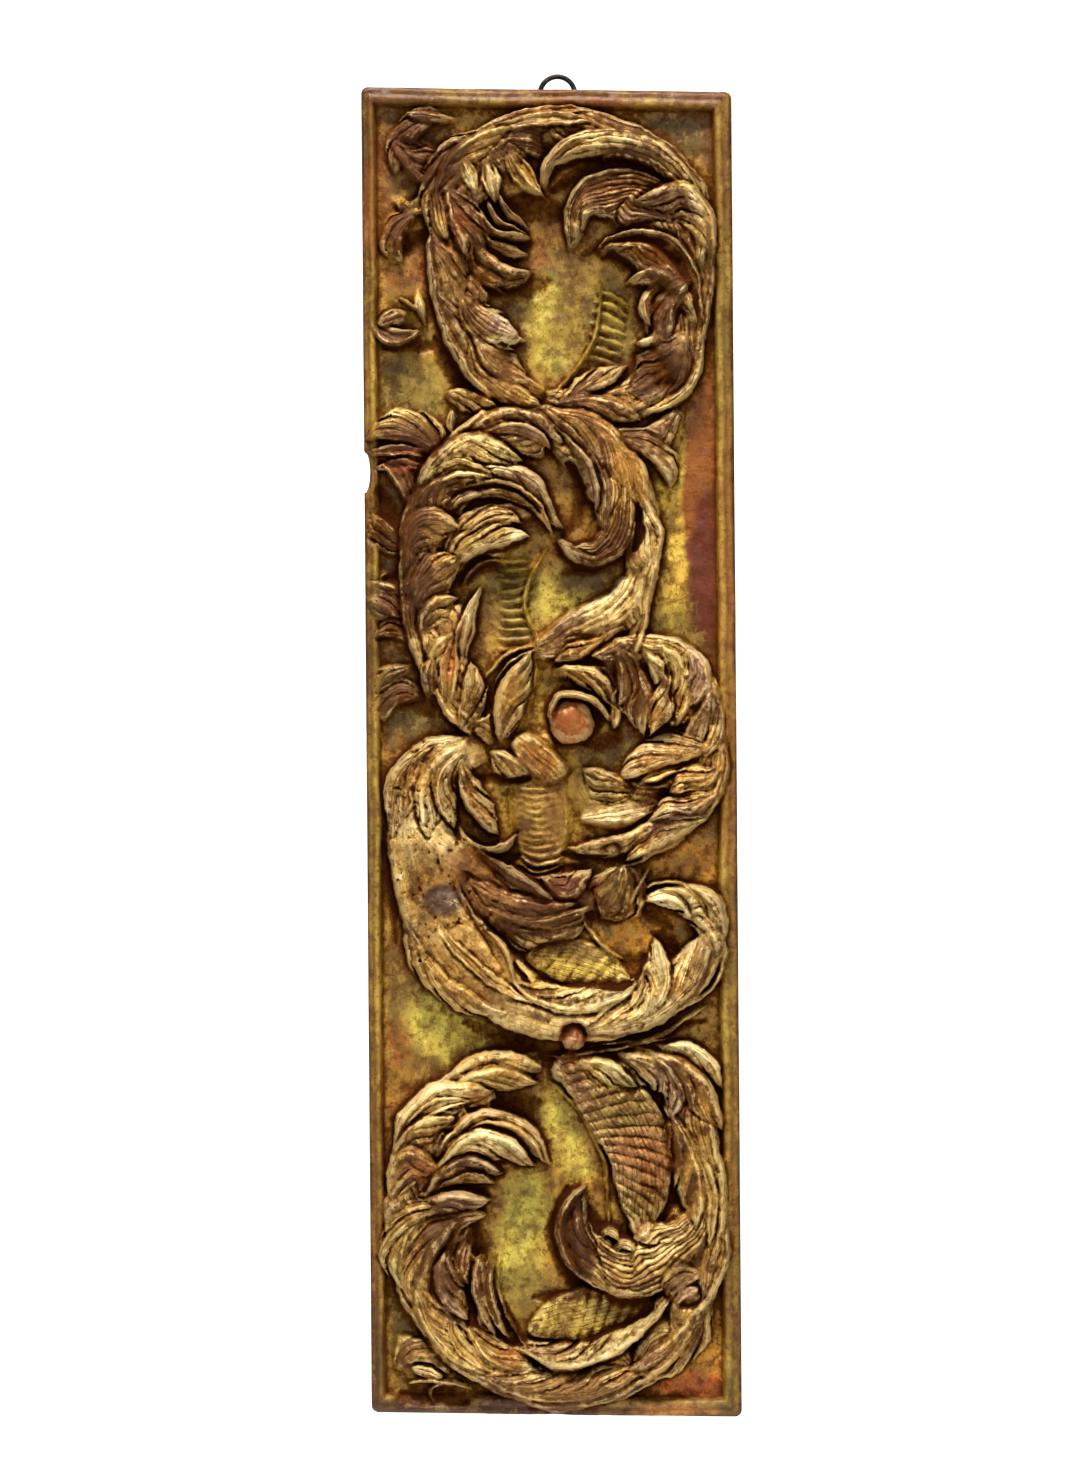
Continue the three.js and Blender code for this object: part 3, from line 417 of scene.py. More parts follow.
THIRD_CUTS = (
    Cut(Kind.LOBE, 12, 9, ((-96, 60), (-112, 56), (-124, 44))),
    Cut(Kind.PLUME_RIGHT, 14, 9, ((-92, 40), (-106, 40), (-118, 22))),
    Cut(Kind.BALL, 34, 25, ((14, 22),)),
    Cut(Kind.RIM, 7, 28, ((-4, 22), (6, 41), (30, 37), (44, 20))),
    Cut(Kind.CREST, 8, 22, ((26, 44), (44, 36), (44, 16))),
    Cut(Kind.PLUME_RIGHT, 13, 20, ((-2, 58), (26, 58), (56, 26))),
    Cut(Kind.PLUME_RIGHT, 22, 17, ((30, 66), (56, 60), (66, 12))),
    Cut(Kind.PLUME_LEFT, 15, 19, ((44, 74), (50, 56), (48, 34))),
    Cut(Kind.PLUME_RIGHT, 16, 25, ((62, 74), (88, 54), (84, 28), (70, 10))),
    Cut(Kind.PLUME_RIGHT, 14, 21, ((76, 78), (96, 56), (90, 18))),
    Cut(Kind.PLUME_RIGHT, 16, 21, ((92, 76), (110, 56), (99, 32))),
    Cut(Kind.PLUME_LEFT, 15, 20, ((114, 48), (104, 22), (88, 0))),
    Cut(Kind.LOBE, 11, 17, ((120, 34), (118, 14), (108, -4))),
    Cut(Kind.ROLL, 12, 17, ((122, 10), (118, -24), (90, -60))),
    Cut(Kind.PLUME_RIGHT, 19, 20, ((116, 2), (86, -6), (48, -20))),
    Cut(Kind.CREST, 8, 20, ((106, -10), (84, -14), (60, -24))),
    Cut(Kind.PLUME_RIGHT, 16, 23, ((120, -12), (102, -26), (82, -30))),
    Cut(Kind.LOBE, 12, 15, ((84, -26), (68, -29), (48, -22))),
    Cut(Kind.PLUME_LEFT, 17, 12, ((62, -30), (44, -20), (22, -12))),
    Cut(Kind.RIBBED, 20, 12, ((84, -34), (50, -44), (16, -48))),
    Cut(Kind.PLUME_RIGHT, 16, 25, ((120, -26), (98, -42), (66, -54))),
    Cut(Kind.PLUME_RIGHT, 14, 23, ((116, -44), (86, -60), (52, -78))),
    Cut(Kind.PLUME_LEFT, 13, 17, ((84, -46), (52, -60), (12, -67))),
    Cut(Kind.BALL, 13, 12, ((42, -70),)),
    Cut(Kind.PLUME_LEFT, 22, 21, ((-58, 10), (-104, -6), (-114, -58))),
    Cut(Kind.MASS, 50, 25, ((-94, -16), (-94, -70), (-88, -126))),
    Cut(Kind.PLUME_LEFT, 18, 25, ((-58, 8), (-88, -14), (-88, -60))),
    Cut(Kind.PLUME_LEFT, 14, 25, ((-56, 2), (-78, -14), (-70, -54))),
    Cut(Kind.PLUME_LEFT, 14, 24, ((-64, -2), (-62, -28), (-38, -58))),
    Cut(Kind.CREST, 9, 22, ((-70, -48), (-46, -70), (-24, -60))),
    Cut(Kind.PLUME_RIGHT, 14, 16, ((-46, 0), (-32, -4), (-16, -16))),
    Cut(Kind.RIBBED, 28, 15, ((-26, 12), (-10, -4), (8, -20))),
    Cut(Kind.MASS, 36, 25, ((-98, -52), (-78, -70), (-40, -92))),
    Cut(Kind.CREST, 12, 25, ((-64, -62), (-34, -86), (2, -106))),
    Cut(Kind.MASS, 34, 24, ((-98, -92), (-70, -108), (-40, -122))),
    Cut(Kind.PLUME_RIGHT, 24, 21, ((-70, -80), (-40, -102), (16, -108))),
    Cut(Kind.PLUME_LEFT, 16, 20, ((-8, -86), (10, -102), (28, -84))),
    Cut(Kind.PLUME_RIGHT, 15, 19, ((-54, -106), (-18, -120), (26, -110))),
    Cut(Kind.PLUME_RIGHT, 13, 15, ((-46, -116), (-12, -130), (22, -122))),
    Cut(Kind.CREST, 10, 25, ((-62, -112), (-42, -134), (-28, -162))),
    Cut(Kind.SCOOP, 10, 21, ((-106, -122), (-98, -146), (-88, -160))),
    Cut(Kind.PLUME_RIGHT, 15, 24, ((-104, -118), (-84, -154), (-34, -184))),
    Cut(Kind.SCOOP, 10, 26, ((-86, -114), (-56, -152), (-14, -178))),
    Cut(Kind.PLUME_LEFT, 15, 26, ((-36, -156), (14, -182), (66, -162))),
    Cut(Kind.PLUME_LEFT, 22, 24, ((10, -196), (80, -184), (112, -128))),
    Cut(Kind.PLUME_LEFT, 21, 25, ((116, -152), (112, -104), (66, -104))),
    Cut(Kind.CREST, 9, 26, ((102, -128), (86, -104), (64, -106))),
    Cut(Kind.PLUME_LEFT, 17, 25, ((60, -190), (80, -166), (72, -134))),
    Cut(Kind.LEAF, 10, 22, ((50, -184), (60, -172), (66, -154))),
    Cut(Kind.RIM, 4, 20, ((60, -102), (86, -92), (114, -124))),
    Cut(Kind.RIM, 5, 18, ((116, -120), (119, -156), (84, -186))),
    Cut(Kind.BALL, 22, 20, ((14, -203),)),
    Cut(Kind.RIDGE, 5, 13, ((22, -216), (64, -206), (110, -180))),
    Cut(Kind.RIDGE, 4, 12, ((32, -210), (48, -207), (60, -208))),
    Cut(Kind.ACANTHUS, 26, 12, ((50, -78), (48, -96), (36, -118))),
    Cut(Kind.RIDGE, 4, 14, ((70, -80), (62, -94), (54, -112))),
    Cut(Kind.SHELL, 34, 9, ((-20, -146), (16, -150), (56, -166))),
    Cut(Kind.RIDGE, 4, 10, ((20, -116), (30, -132), (50, -148))),
)

BOTTOM_CUTS = (
    Cut(Kind.LOBE, 12, 9, ((-118, -420), (-108, -420), (-98, -426))),
    Cut(Kind.PLUME_LEFT, 16, 13, ((-114, -442), (-98, -430), (-76, -442))),
    Cut(Kind.LOBE, 10, 13, ((-110, -440), (-96, -440), (-80, -444))),
    Cut(Kind.RIDGE, 5, 13, ((-106, -450), (-86, -447), (-60, -455))),
    Cut(Kind.RIDGE, 4, 10, ((-88, -464), (-90, -454), (-80, -449))),
    Cut(Kind.RIM, 8, 15, ((-48, -216), (-94, -252), (-114, -302))),
    Cut(Kind.PLUME_LEFT, 22, 19, ((-106, -284), (-116, -340), (-92, -400))),
    Cut(Kind.PLUME_LEFT, 22, 20, ((-104, -376), (-74, -430), (-16, -456))),
    Cut(Kind.PLUME_RIGHT, 15, 21, ((-78, -232), (-46, -216), (-8, -224))),
    Cut(Kind.PLUME_RIGHT, 14, 23, ((-76, -238), (-42, -226), (-10, -236))),
    Cut(Kind.PLUME_RIGHT, 20, 24, ((-116, -288), (-92, -244), (-44, -240))),
    Cut(Kind.SCOOP, 10, 25, ((-110, -284), (-88, -252), (-60, -248))),
    Cut(Kind.PLUME_RIGHT, 16, 22, ((-116, -306), (-100, -266), (-70, -258))),
    Cut(Kind.PLUME_RIGHT, 20, 20, ((-118, -322), (-104, -284), (-80, -300))),
    Cut(Kind.PLUME_RIGHT, 18, 25, ((-88, -290), (-54, -258), (-20, -266), (-2, -294))),
    Cut(Kind.CREST, 8, 27, ((-80, -286), (-40, -264), (-7, -292))),
    Cut(Kind.PLUME_RIGHT, 19, 29, ((-90, -304), (-62, -274), (-36, -274), (-14, -294))),
    Cut(Kind.PLUME_RIGHT, 15, 26, ((-92, -318), (-66, -290), (-36, -299))),
    Cut(Kind.CREST, 9, 23, ((-88, -322), (-66, -303), (-42, -306))),
    Cut(Kind.PLUME_RIGHT, 17, 26, ((-104, -336), (-76, -316), (-46, -318))),
    Cut(Kind.LOBE, 12, 18, ((-74, -350), (-64, -330), (-50, -328))),
    Cut(Kind.PLUME_RIGHT, 20, 24, ((-76, -324), (-102, -342), (-106, -382))),
    Cut(Kind.PLUME_RIGHT, 18, 24, ((-62, -330), (-86, -352), (-92, -396))),
    Cut(Kind.LOBE, 12, 17, ((-58, -342), (-66, -358), (-62, -378))),
    Cut(Kind.PLUME_LEFT, 17, 25, ((-76, -350), (-82, -380), (-63, -404))),
    Cut(Kind.PLUME_LEFT, 17, 22, ((-100, -374), (-90, -408), (-52, -442))),
    Cut(Kind.SCOOP, 10, 20, ((-78, -392), (-68, -420), (-40, -442))),
    Cut(Kind.PLUME_LEFT, 11, 19, ((-52, -352), (-57, -386), (-44, -416))),
    Cut(Kind.SCOOP, 8, 18, ((-43, -356), (-47, -386), (-34, -418))),
    Cut(Kind.RIDGE, 3, 12, ((-40, -356), (-38, -394), (-18, -427))),
    Cut(Kind.PLUME_LEFT, 15, 21, ((-64, -402), (-48, -430), (-14, -440))),
    Cut(Kind.PLUME_LEFT, 18, 20, ((-60, -440), (6, -458), (70, -434))),
    Cut(Kind.PLUME_LEFT, 17, 26, ((-36, -420), (10, -436), (54, -416), (86, -384))),
    Cut(Kind.RIM, 8, 17, ((-24, -463), (18, -464), (64, -444))),
    Cut(Kind.PLUME_LEFT, 20, 19, ((108, -388), (84, -420), (50, -438))),
    Cut(Kind.PLUME_RIGHT, 14, 20, ((104, -372), (90, -378), (82, -392))),
    Cut(Kind.BALL, 17, 20, ((95, -388),)),
    Cut(Kind.LOBE, 9, 22, ((84, -398), (90, -386), (100, -382))),
    Cut(Kind.RIM, 8, 18, ((118, -322), (119, -366), (98, -404))),
    Cut(Kind.RIM, 8, 17, ((102, -398), (88, -424), (60, -446))),
    Cut(Kind.SHELL, 38, 13, ((-20, -414), (18, -400), (70, -394))),
    Cut(Kind.PLUME_LEFT, 18, 19, ((24, -306), (4, -344), (36, -384))),
    Cut(Kind.ROLL, 8, 21, ((24, -308), (3, -340), (20, -374))),
    Cut(Kind.LOBE, 8, 26, ((30, -348), (38, -341), (45, -347))),
    Cut(Kind.LOBE, 8, 26, ((40, -356), (49, -349), (56, -355))),
    Cut(Kind.FAN, 50, 20, ((12, -226), (54, -268), (60, -338))),
    Cut(Kind.PLUME_RIGHT, 16, 22, ((14, -222), (38, -222), (58, -238))),
    Cut(Kind.PLUME_RIGHT, 15, 21, ((72, -210), (104, -214), (120, -240))),
    Cut(Kind.PLUME_RIGHT, 20, 24, ((40, -214), (76, -222), (90, -240), (84, -260))),
    Cut(Kind.PLUME_RIGHT, 18, 22, ((66, -212), (98, -228), (119, -270))),
    Cut(Kind.PLUME_RIGHT, 17, 23, ((78, -252), (98, -286), (100, -338))),
    Cut(Kind.SCOOP, 9, 19, ((98, -276), (110, -310), (108, -352))),
    Cut(Kind.RIM, 7, 17, ((112, -274), (119, -306), (116, -346))),
    Cut(Kind.RIDGE, 4, 12, ((-6, -217), (44, -212), (84, -202))),
    Cut(Kind.RIDGE, 4, 7, ((-4, -234), (22, -262), (36, -300), (38, -342))),
)


def tone(red: int, green: int, blue: int) -> Colour:
    """Linear colour from the values a paint chart gives, 0 to 255."""
    return (red / 255) ** 2.2, (green / 255) ** 2.2, (blue / 255) ** 2.2


@dataclass(frozen=True)
class Patch:
    """One patch of colour on the panel.

    Attributes:
        colour: Linear colour.
        middle: Its middle, mm.
        reach: Half its width and half its height, mm.
        weight: How strongly it covers.
        lean: Turn, degrees.
        ragged: Unevenness of its edge.
    """

    colour: Colour
    middle: Point
    reach: Point
    weight: float = 0.9
    lean: float = 0.0
    ragged: float = 0.35


OCHRE = tone(160, 118, 50)
STRAW = tone(180, 146, 68)
GREEN = tone(122, 110, 46)
MOSS = tone(92, 76, 34)
YELLOW = tone(192, 166, 76)
LEMON = tone(214, 206, 108)
BROWN = tone(84, 52, 24)
RUST = tone(150, 84, 34)
RED = tone(160, 82, 36)
SALMON = tone(184, 106, 64)
TIMBER = tone(186, 130, 78)
GILT = tone(172, 126, 62)
GOLD = tone(182, 134, 64)
CREAM = tone(226, 202, 150)
STRAW_GOLD = tone(208, 176, 112)
BRONZE = tone(104, 66, 30)
UMBER = tone(70, 38, 16)
# Violet-grey paints the reflection of a pale sky in the glossy varnish.
REFLECTED_VIOLET = tone(150, 118, 108)
PLUM = tone(128, 104, 108)
OLIVE = tone(134, 116, 60)
ROSE = tone(170, 108, 68)

# Colour of the border by distance in from the edge, mm. The darkest tones, at the outer edge and down the inner drop to
# the ground, are partly painted shade
BORDER_TONES = (
    (0.0, UMBER), (1.0, tone(96, 64, 30)), (3.2, tone(138, 104, 50)), (5.4, tone(116, 84, 38)), (6.6, tone(138, 108, 52)),
    (8.5, tone(166, 138, 74)), (11.4, tone(152, 122, 60)), (12.4, tone(112, 80, 36)), (13.4, tone(84, 56, 26)), (16.0, BROWN),
)

# Stains on the border
BORDER_PATCHES = (
    Patch(BROWN, (-80, 472), (60, 12), 0.8),
    Patch(BRONZE, (70, 470), (70, 10), 0.8),
    Patch(tone(104, 62, 16), (0, 470), (160, 9), 0.95, 0, 0.4),
    Patch(UMBER, (-128, 440), (10, 40), 0.7),
    Patch(BROWN, (-128, 350), (9, 50), 0.55),
    Patch(BRONZE, (127, 420), (10, 60), 0.5),
    Patch(OLIVE, (124, 300), (8, 90), 0.5),
    Patch(BRONZE, (-127, 180), (9, 60), 0.6),
    Patch(BROWN, (-127, 90), (9, 40), 0.6),
    Patch(OLIVE, (-126, -60), (9, 80), 0.4),
    Patch(BROWN, (127, -20), (7, 50), 0.4),
    Patch(OLIVE, (122, -150), (8, 60), 0.5),
    Patch(BRONZE, (-127, -300), (9, 90), 0.6),
    Patch(UMBER, (-128, -440), (10, 44), 0.8),
    Patch(tone(72, 34, 8), (-40, -468), (104, 14), 1.0),
    Patch(BROWN, (128, -400), (8, 70), 0.6),
    Patch(TIMBER, (84, -470), (32, 5.5), 1.0, -1.0, 0.08),
    Patch(MOSS, (121, -455), (10, 16), 0.7),
)

# The long red lens the gilder left on the ground at the right
LENS = Patch(tone(140, 84, 30), (120.5, 176), (25.5, 98), 1.0, 0.0, 0.02)

GROUND_PATCHES = (
    Patch(BROWN, (-95, 430), (32, 36)),
    Patch(UMBER, (-88, 440), (18, 14), 0.7),
    Patch(RUST, (-102, 345), (16, 14), 0.8),
    Patch(GREEN, (-100, 258), (26, 24), 0.95),
    Patch(MOSS, (-96, 244), (20, 10), 0.7),
    Patch(BROWN, (-108, 262), (20, 22), 0.5),
    Patch(BROWN, (-104, 208), (26, 20)),
    Patch(BROWN, (-112, 160), (16, 40), 0.9),
    Patch(BROWN, (-110, 112), (16, 26), 0.8),
    Patch(MOSS, (-104, 40), (26, 30), 0.9),
    Patch(MOSS, (96, 444), (26, 20), 0.9),
    Patch(tone(112, 62, 26), (116, 436), (6, 26), 0.9, 0, 0.15),
    Patch(BROWN, (-6, 352), (20, 16), 0.5),
    Patch(GREEN, (8, 305), (22, 40), 0.6),
    Patch(LEMON, (-6, 316), (11, 26), 0.65, -12.0),
    Patch(LEMON, (2, 282), (14, 13), 0.65),
    Patch(tone(150, 92, 34), (-8, 352), (13, 12), 0.7),
    Patch(BROWN, (10, 372), (12, 26), 0.7),
    Patch(MOSS, (-34, 320), (13, 22), 0.8),
    Patch(RUST, (4, 376), (10, 10), 0.5),
    Patch(tone(146, 96, 36), (0, 372), (14, 12), 0.9),
    Patch(BROWN, (30, 334), (7, 22), 0.6),
    Patch(GREEN, (44, 305), (20, 30), 0.7),
    Patch(BROWN, (40, 266), (34, 16), 0.8),
    Patch(tone(226, 196, 92), (86, 160), (14, 86), 1.0, 0, 0.2),
    Patch(GREEN, (86, 84), (16, 22), 0.8),
    LENS,
    Patch(tone(96, 38, 12), (120.5, 124), (23.0, 66), 0.95, 0.0, 0.06),
    Patch(tone(112, 120, 72), (-11, 112), (8, 15), 0.8),
    Patch(tone(116, 120, 76), (-34, 124), (11, 9), 0.6),
    Patch(GREEN, (-26, 106), (16, 30), 0.6),
    Patch(MOSS, (-28, 114), (10, 12), 0.6),
    Patch(LEMON, (6, 112), (20, 14), 0.8),
    Patch(GREEN, (30, 128), (22, 12), 0.8),
    # Brown and rust under the curl of the second scroll paint its shadow on the ground.
    Patch(BROWN, (28, 122), (24, 8), 0.6),
    Patch(RUST, (6, 144), (8, 8), 0.7),
    Patch(GREEN, (-6, -60), (18, 30), 0.4),
    Patch(YELLOW, (-28, -32), (18, 12), 0.6),
    Patch(MOSS, (40, -6), (20, 24), 0.8),
    Patch(YELLOW, (6, -152), (34, 14), 0.7),
    Patch(GREEN, (4, -160), (22, 5), 0.7),
    Patch(tone(206, 148, 54), (60, -128), (22, 22), 1.0),
    Patch(tone(216, 158, 66), (96, -80), (24, 26), 1.0),
    Patch(LEMON, (-76, -196), (34, 26), 1.0, -38.0),
    Patch(MOSS, (-84, -230), (26, 12), 0.5, -40.0),
    Patch(RUST, (-112, -206), (11, 16), 0.8),
    Patch(RUST, (-108, -250), (12, 14), 0.7),
    Patch(BROWN, (-110, -160), (10, 40), 0.7),
    Patch(MOSS, (-30, -262), (26, 18), 0.6),
    Patch(LEMON, (-24, -345), (18, 46), 1.0, -8.0),
    Patch(MOSS, (-22, -382), (18, 18), 0.7),
    Patch(LEMON, (8, -276), (13, 36), 0.9, 18.0),
    Patch(OCHRE, (24, -318), (10, 14), 0.8),
    Patch(MOSS, (-108, -400), (14, 40), 0.9),
    Patch(tone(210, 150, 58), (100, -428), (30, 26), 1.0),
    Patch(tone(216, 108, 32), (96, -452), (26, 11), 1.0, -1.0, 0.1),
)

# Colour patches on the leaves; the umber and bronze ones over recessed leaf groups also paint their shade.
LEAF_PATCHES = (
    Patch(BRONZE, (20, 350), (112, 128), 0.50, 0, 0.5),
    Patch(BRONZE, (-20, 130), (92, 130), 0.20, 0, 0.6),
    Patch(BRONZE, (0, -330), (122, 130), 0.20, 0, 0.6),
    Patch(UMBER, (-92, 428), (34, 36), 0.9),
    Patch(UMBER, (-98, 368), (18, 26), 0.8),
    Patch(BRONZE, (-104, 306), (24, 18), 0.6),
    Patch(BRONZE, (54, 396), (36, 20), 0.6),
    Patch(BRONZE, (92, 420), (34, 16), 0.5, -30, 0.5),
    Patch(STRAW_GOLD, (100, 400), (12, 60), 0.7, 0),
    Patch(BRONZE, (80, 340), (34, 30), 0.5),
    Patch(CREAM, (50, 434), (34, 5), 0.6, -6),
    Patch(CREAM, (-53, 405), (6, 11), 0.9, 0, 0.2),
    Patch(CREAM, (-38, 404), (6, 13), 0.7, 0, 0.2),
    Patch(REFLECTED_VIOLET, (88, 386), (24, 13), 0.7),
    Patch(REFLECTED_VIOLET, (50, 376), (24, 8), 0.5),
    Patch(REFLECTED_VIOLET, (-56, 388), (9, 12), 0.8, 20),
    Patch(tone(132, 66, 30), (-64, 372), (6, 18), 0.9, 14),
    Patch(OCHRE, (-20, 410), (12, 14), 0.6),
    Patch(GOLD, (-26, 360), (16, 14), 0.7),
    Patch(PLUM, (-30, 305), (11, 9), 0.8, -30),
    Patch(CREAM, (-36, 290), (16, 5), 0.7),
    Patch(REFLECTED_VIOLET, (82, 306), (9, 24), 0.7),
    Patch(UMBER, (78, 270), (22, 15), 0.9),
    Patch(OCHRE, (-24, 256), (16, 9), 0.6),
    Patch(OCHRE, (-56, 250), (14, 8), 0.8),
    Patch(BROWN, (-108, 150), (22, 66), 0.85),
    Patch(tone(88, 50, 24), (-106, 222), (28, 13), 0.9),
    Patch(tone(132, 58, 26), (-106, 208), (20, 9), 0.8),
    Patch(tone(250, 222, 156), (-56, 206), (33, 13), 1.0, 14, 0.25),
    Patch(REFLECTED_VIOLET, (-14, 228), (22, 8), 0.7),
    Patch(REFLECTED_VIOLET, (-20, 194), (24, 7), 0.5, -14),
    Patch(REFLECTED_VIOLET, (34, 194), (10, 28), 0.8, 12),
    Patch(BRONZE, (36, 148), (26, 15), 0.8, 0, 0.4),
    Patch(BRONZE, (-36, 368), (24, 24), 0.5),
    Patch(BRONZE, (-50, 176), (24, 9), 0.7),
    Patch(OCHRE, (-84, 142), (18, 34), 0.5),
    Patch(CREAM, (-51, 106), (9, 17), 0.9, -20),
    Patch(CREAM, (-21, 153), (6, 5), 1.0, 0, 0.1),
    Patch(CREAM, (42, 106), (26, 13), 0.85, 34),
    Patch(REFLECTED_VIOLET, (14, 94), (12, 6), 0.6, 20),
    Patch(CREAM, (70, 150), (6, 26), 0.6),
    Patch(GOLD, (56, 190), (14, 22), 0.6),
    Patch(RED, (-72, 66), (7, 18), 0.6),
    Patch(GOLD, (-32, 40), (10, 30), 0.7),
    Patch(OLIVE, (-14, 36), (8, 26), 0.7),
    Patch(MOSS, (-108, 44), (20, 24), 0.8),
    Patch(BRONZE, (54, 46), (18, 24), 0.7),
    Patch(CREAM, (80, 50), (8, 24), 0.6, 10),
    Patch(REFLECTED_VIOLET, (103, 52), (8, 24), 0.8, 8),
    Patch(OCHRE, (16, 57), (20, 6), 0.8),
    Patch(CREAM, (-76, -2), (20, 12), 0.8),
    Patch(REFLECTED_VIOLET, (-74, -30), (9, 24), 0.6, 14),
    Patch(GOLD, (-92, -60), (34, 60), 0.8),
    Patch(CREAM, (-90, -58), (22, 30), 0.75, 0, 0.7),
    Patch(CREAM, (-70, -136), (44, 18), 0.55, -40, 0.5),
    Patch(BRONZE, (-30, -112), (34, 12), 0.7, -14, 0.5),
    Patch(tone(142, 96, 48), (-54, -94), (26, 24), 0.85, -30, 0.6),
    Patch(BRONZE, (-108, -34), (9, 20), 0.6, 0, 0.7),
    Patch(BRONZE, (-86, -76), (16, 8), 0.55, -30, 0.7),
    Patch(UMBER, (-66, -70), (12, 6), 0.5, -40, 0.6),
    Patch(BRONZE, (-98, -128), (16, 8), 0.6, -44, 0.7),
    Patch(OLIVE, (-62, -150), (26, 12), 0.6, -36, 0.7),
    Patch(BRONZE, (-30, -184), (22, 9), 0.55, -16, 0.6),
    Patch(BRONZE, (78, -184), (20, 8), 0.55, 24, 0.6),
    Patch(tone(140, 104, 52), (-100, 0), (18, 18), 0.8, 0, 0.5),
    Patch(tone(84, 64, 60), (-78, -104), (15, 12), 1.0, 8, 0.05),
    Patch(tone(216, 194, 104), (18, -156), (36, 15), 0.9),
    Patch(MOSS, (22, -142), (26, 6), 0.6, -8),
    Patch(tone(140, 104, 48), (-8, -36), (24, 46), 0.8),
    Patch(tone(176, 148, 74), (-16, -44), (12, 14), 0.7),
    Patch(tone(150, 98, 40), (-4, -4), (14, 12), 0.8, 0, 0.6),
    Patch(OLIVE, (34, -28), (20, 16), 0.7),
    Patch(GOLD, (88, -14), (28, 12), 0.6),
    Patch(REFLECTED_VIOLET, (86, -48), (20, 8), 0.8, 30),
    Patch(CREAM, (36, -48), (24, 6), 0.5, 12),
    Patch(BRONZE, (-4, -118), (32, 14), 0.7),
    Patch(tone(104, 54, 30), (4, -98), (34, 14), 0.95, 0, 0.2),
    Patch(OLIVE, (44, -98), (12, 18), 0.7),
    Patch(CREAM, (84, -112), (18, 12), 0.8, -40),
    Patch(CREAM, (78, -152), (10, 20), 0.6),
    Patch(GOLD, (-50, -150), (44, 30), 0.6, -34),
    Patch(CREAM, (20, -184), (76, 14), 0.75, 4, 0.5),
    Patch(CREAM, (96, -130), (20, 30), 0.6, 0, 0.5),
    Patch(BRONZE, (108, -160), (10, 26), 0.6),
    Patch(CREAM, (84, -190), (26, 5), 0.6, 24),
    Patch(tone(124, 64, 38), (14, -203), (13, 13), 1.0, 0, 0.1),
    Patch(CREAM, (-84, -244), (30, 14), 0.6, 30),
    Patch(CREAM, (-44, -276), (28, 9), 0.85, -8),
    Patch(REFLECTED_VIOLET, (-56, -292), (20, 7), 0.9),
    Patch(REFLECTED_VIOLET, (-66, -318), (20, 8), 0.8, 18),
    Patch(RED, (-96, -298), (14, 14), 0.6),
    Patch(BRONZE, (-70, -340), (20, 26), 0.6),
    Patch(ROSE, (-60, -368), (7, 12), 0.8),
    Patch(REFLECTED_VIOLET, (-77, -384), (8, 22), 0.9, 6),
    Patch(RED, (-34, -428), (10, 10), 0.5),
    Patch(CREAM, (46, -230), (14, 10), 0.7),
    Patch(REFLECTED_VIOLET, (82, -240), (10, 20), 0.9, 24),
    Patch(CREAM, (98, -212), (20, 8), 0.6, -20),
    Patch(OLIVE, (48, -248), (22, 20), 0.9),
    Patch(ROSE, (60, -284), (20, 15), 0.7),
    Patch(OLIVE, (60, -322), (22, 14), 0.8),
    Patch(UMBER, (12, -342), (15, 42), 1.0, 0, 0.2),
    Patch(CREAM, (70, -350), (34, 9), 0.6, 20),
    Patch(tone(200, 178, 96), (24, -402), (46, 17), 0.9),
    Patch(MOSS, (44, -396), (22, 8), 0.7),
    Patch(REFLECTED_VIOLET, (96, -384), (12, 14), 0.7),
    Patch(BRONZE, (0, -450), (60, 12), 0.6),
    Patch(CREAM, (30, -427), (60, 5), 0.7, 16),
    Patch(CREAM, (-94, -440), (14, 5), 0.7),
    Patch(REFLECTED_VIOLET, (66, -428), (16, 8), 0.6, 20),
)
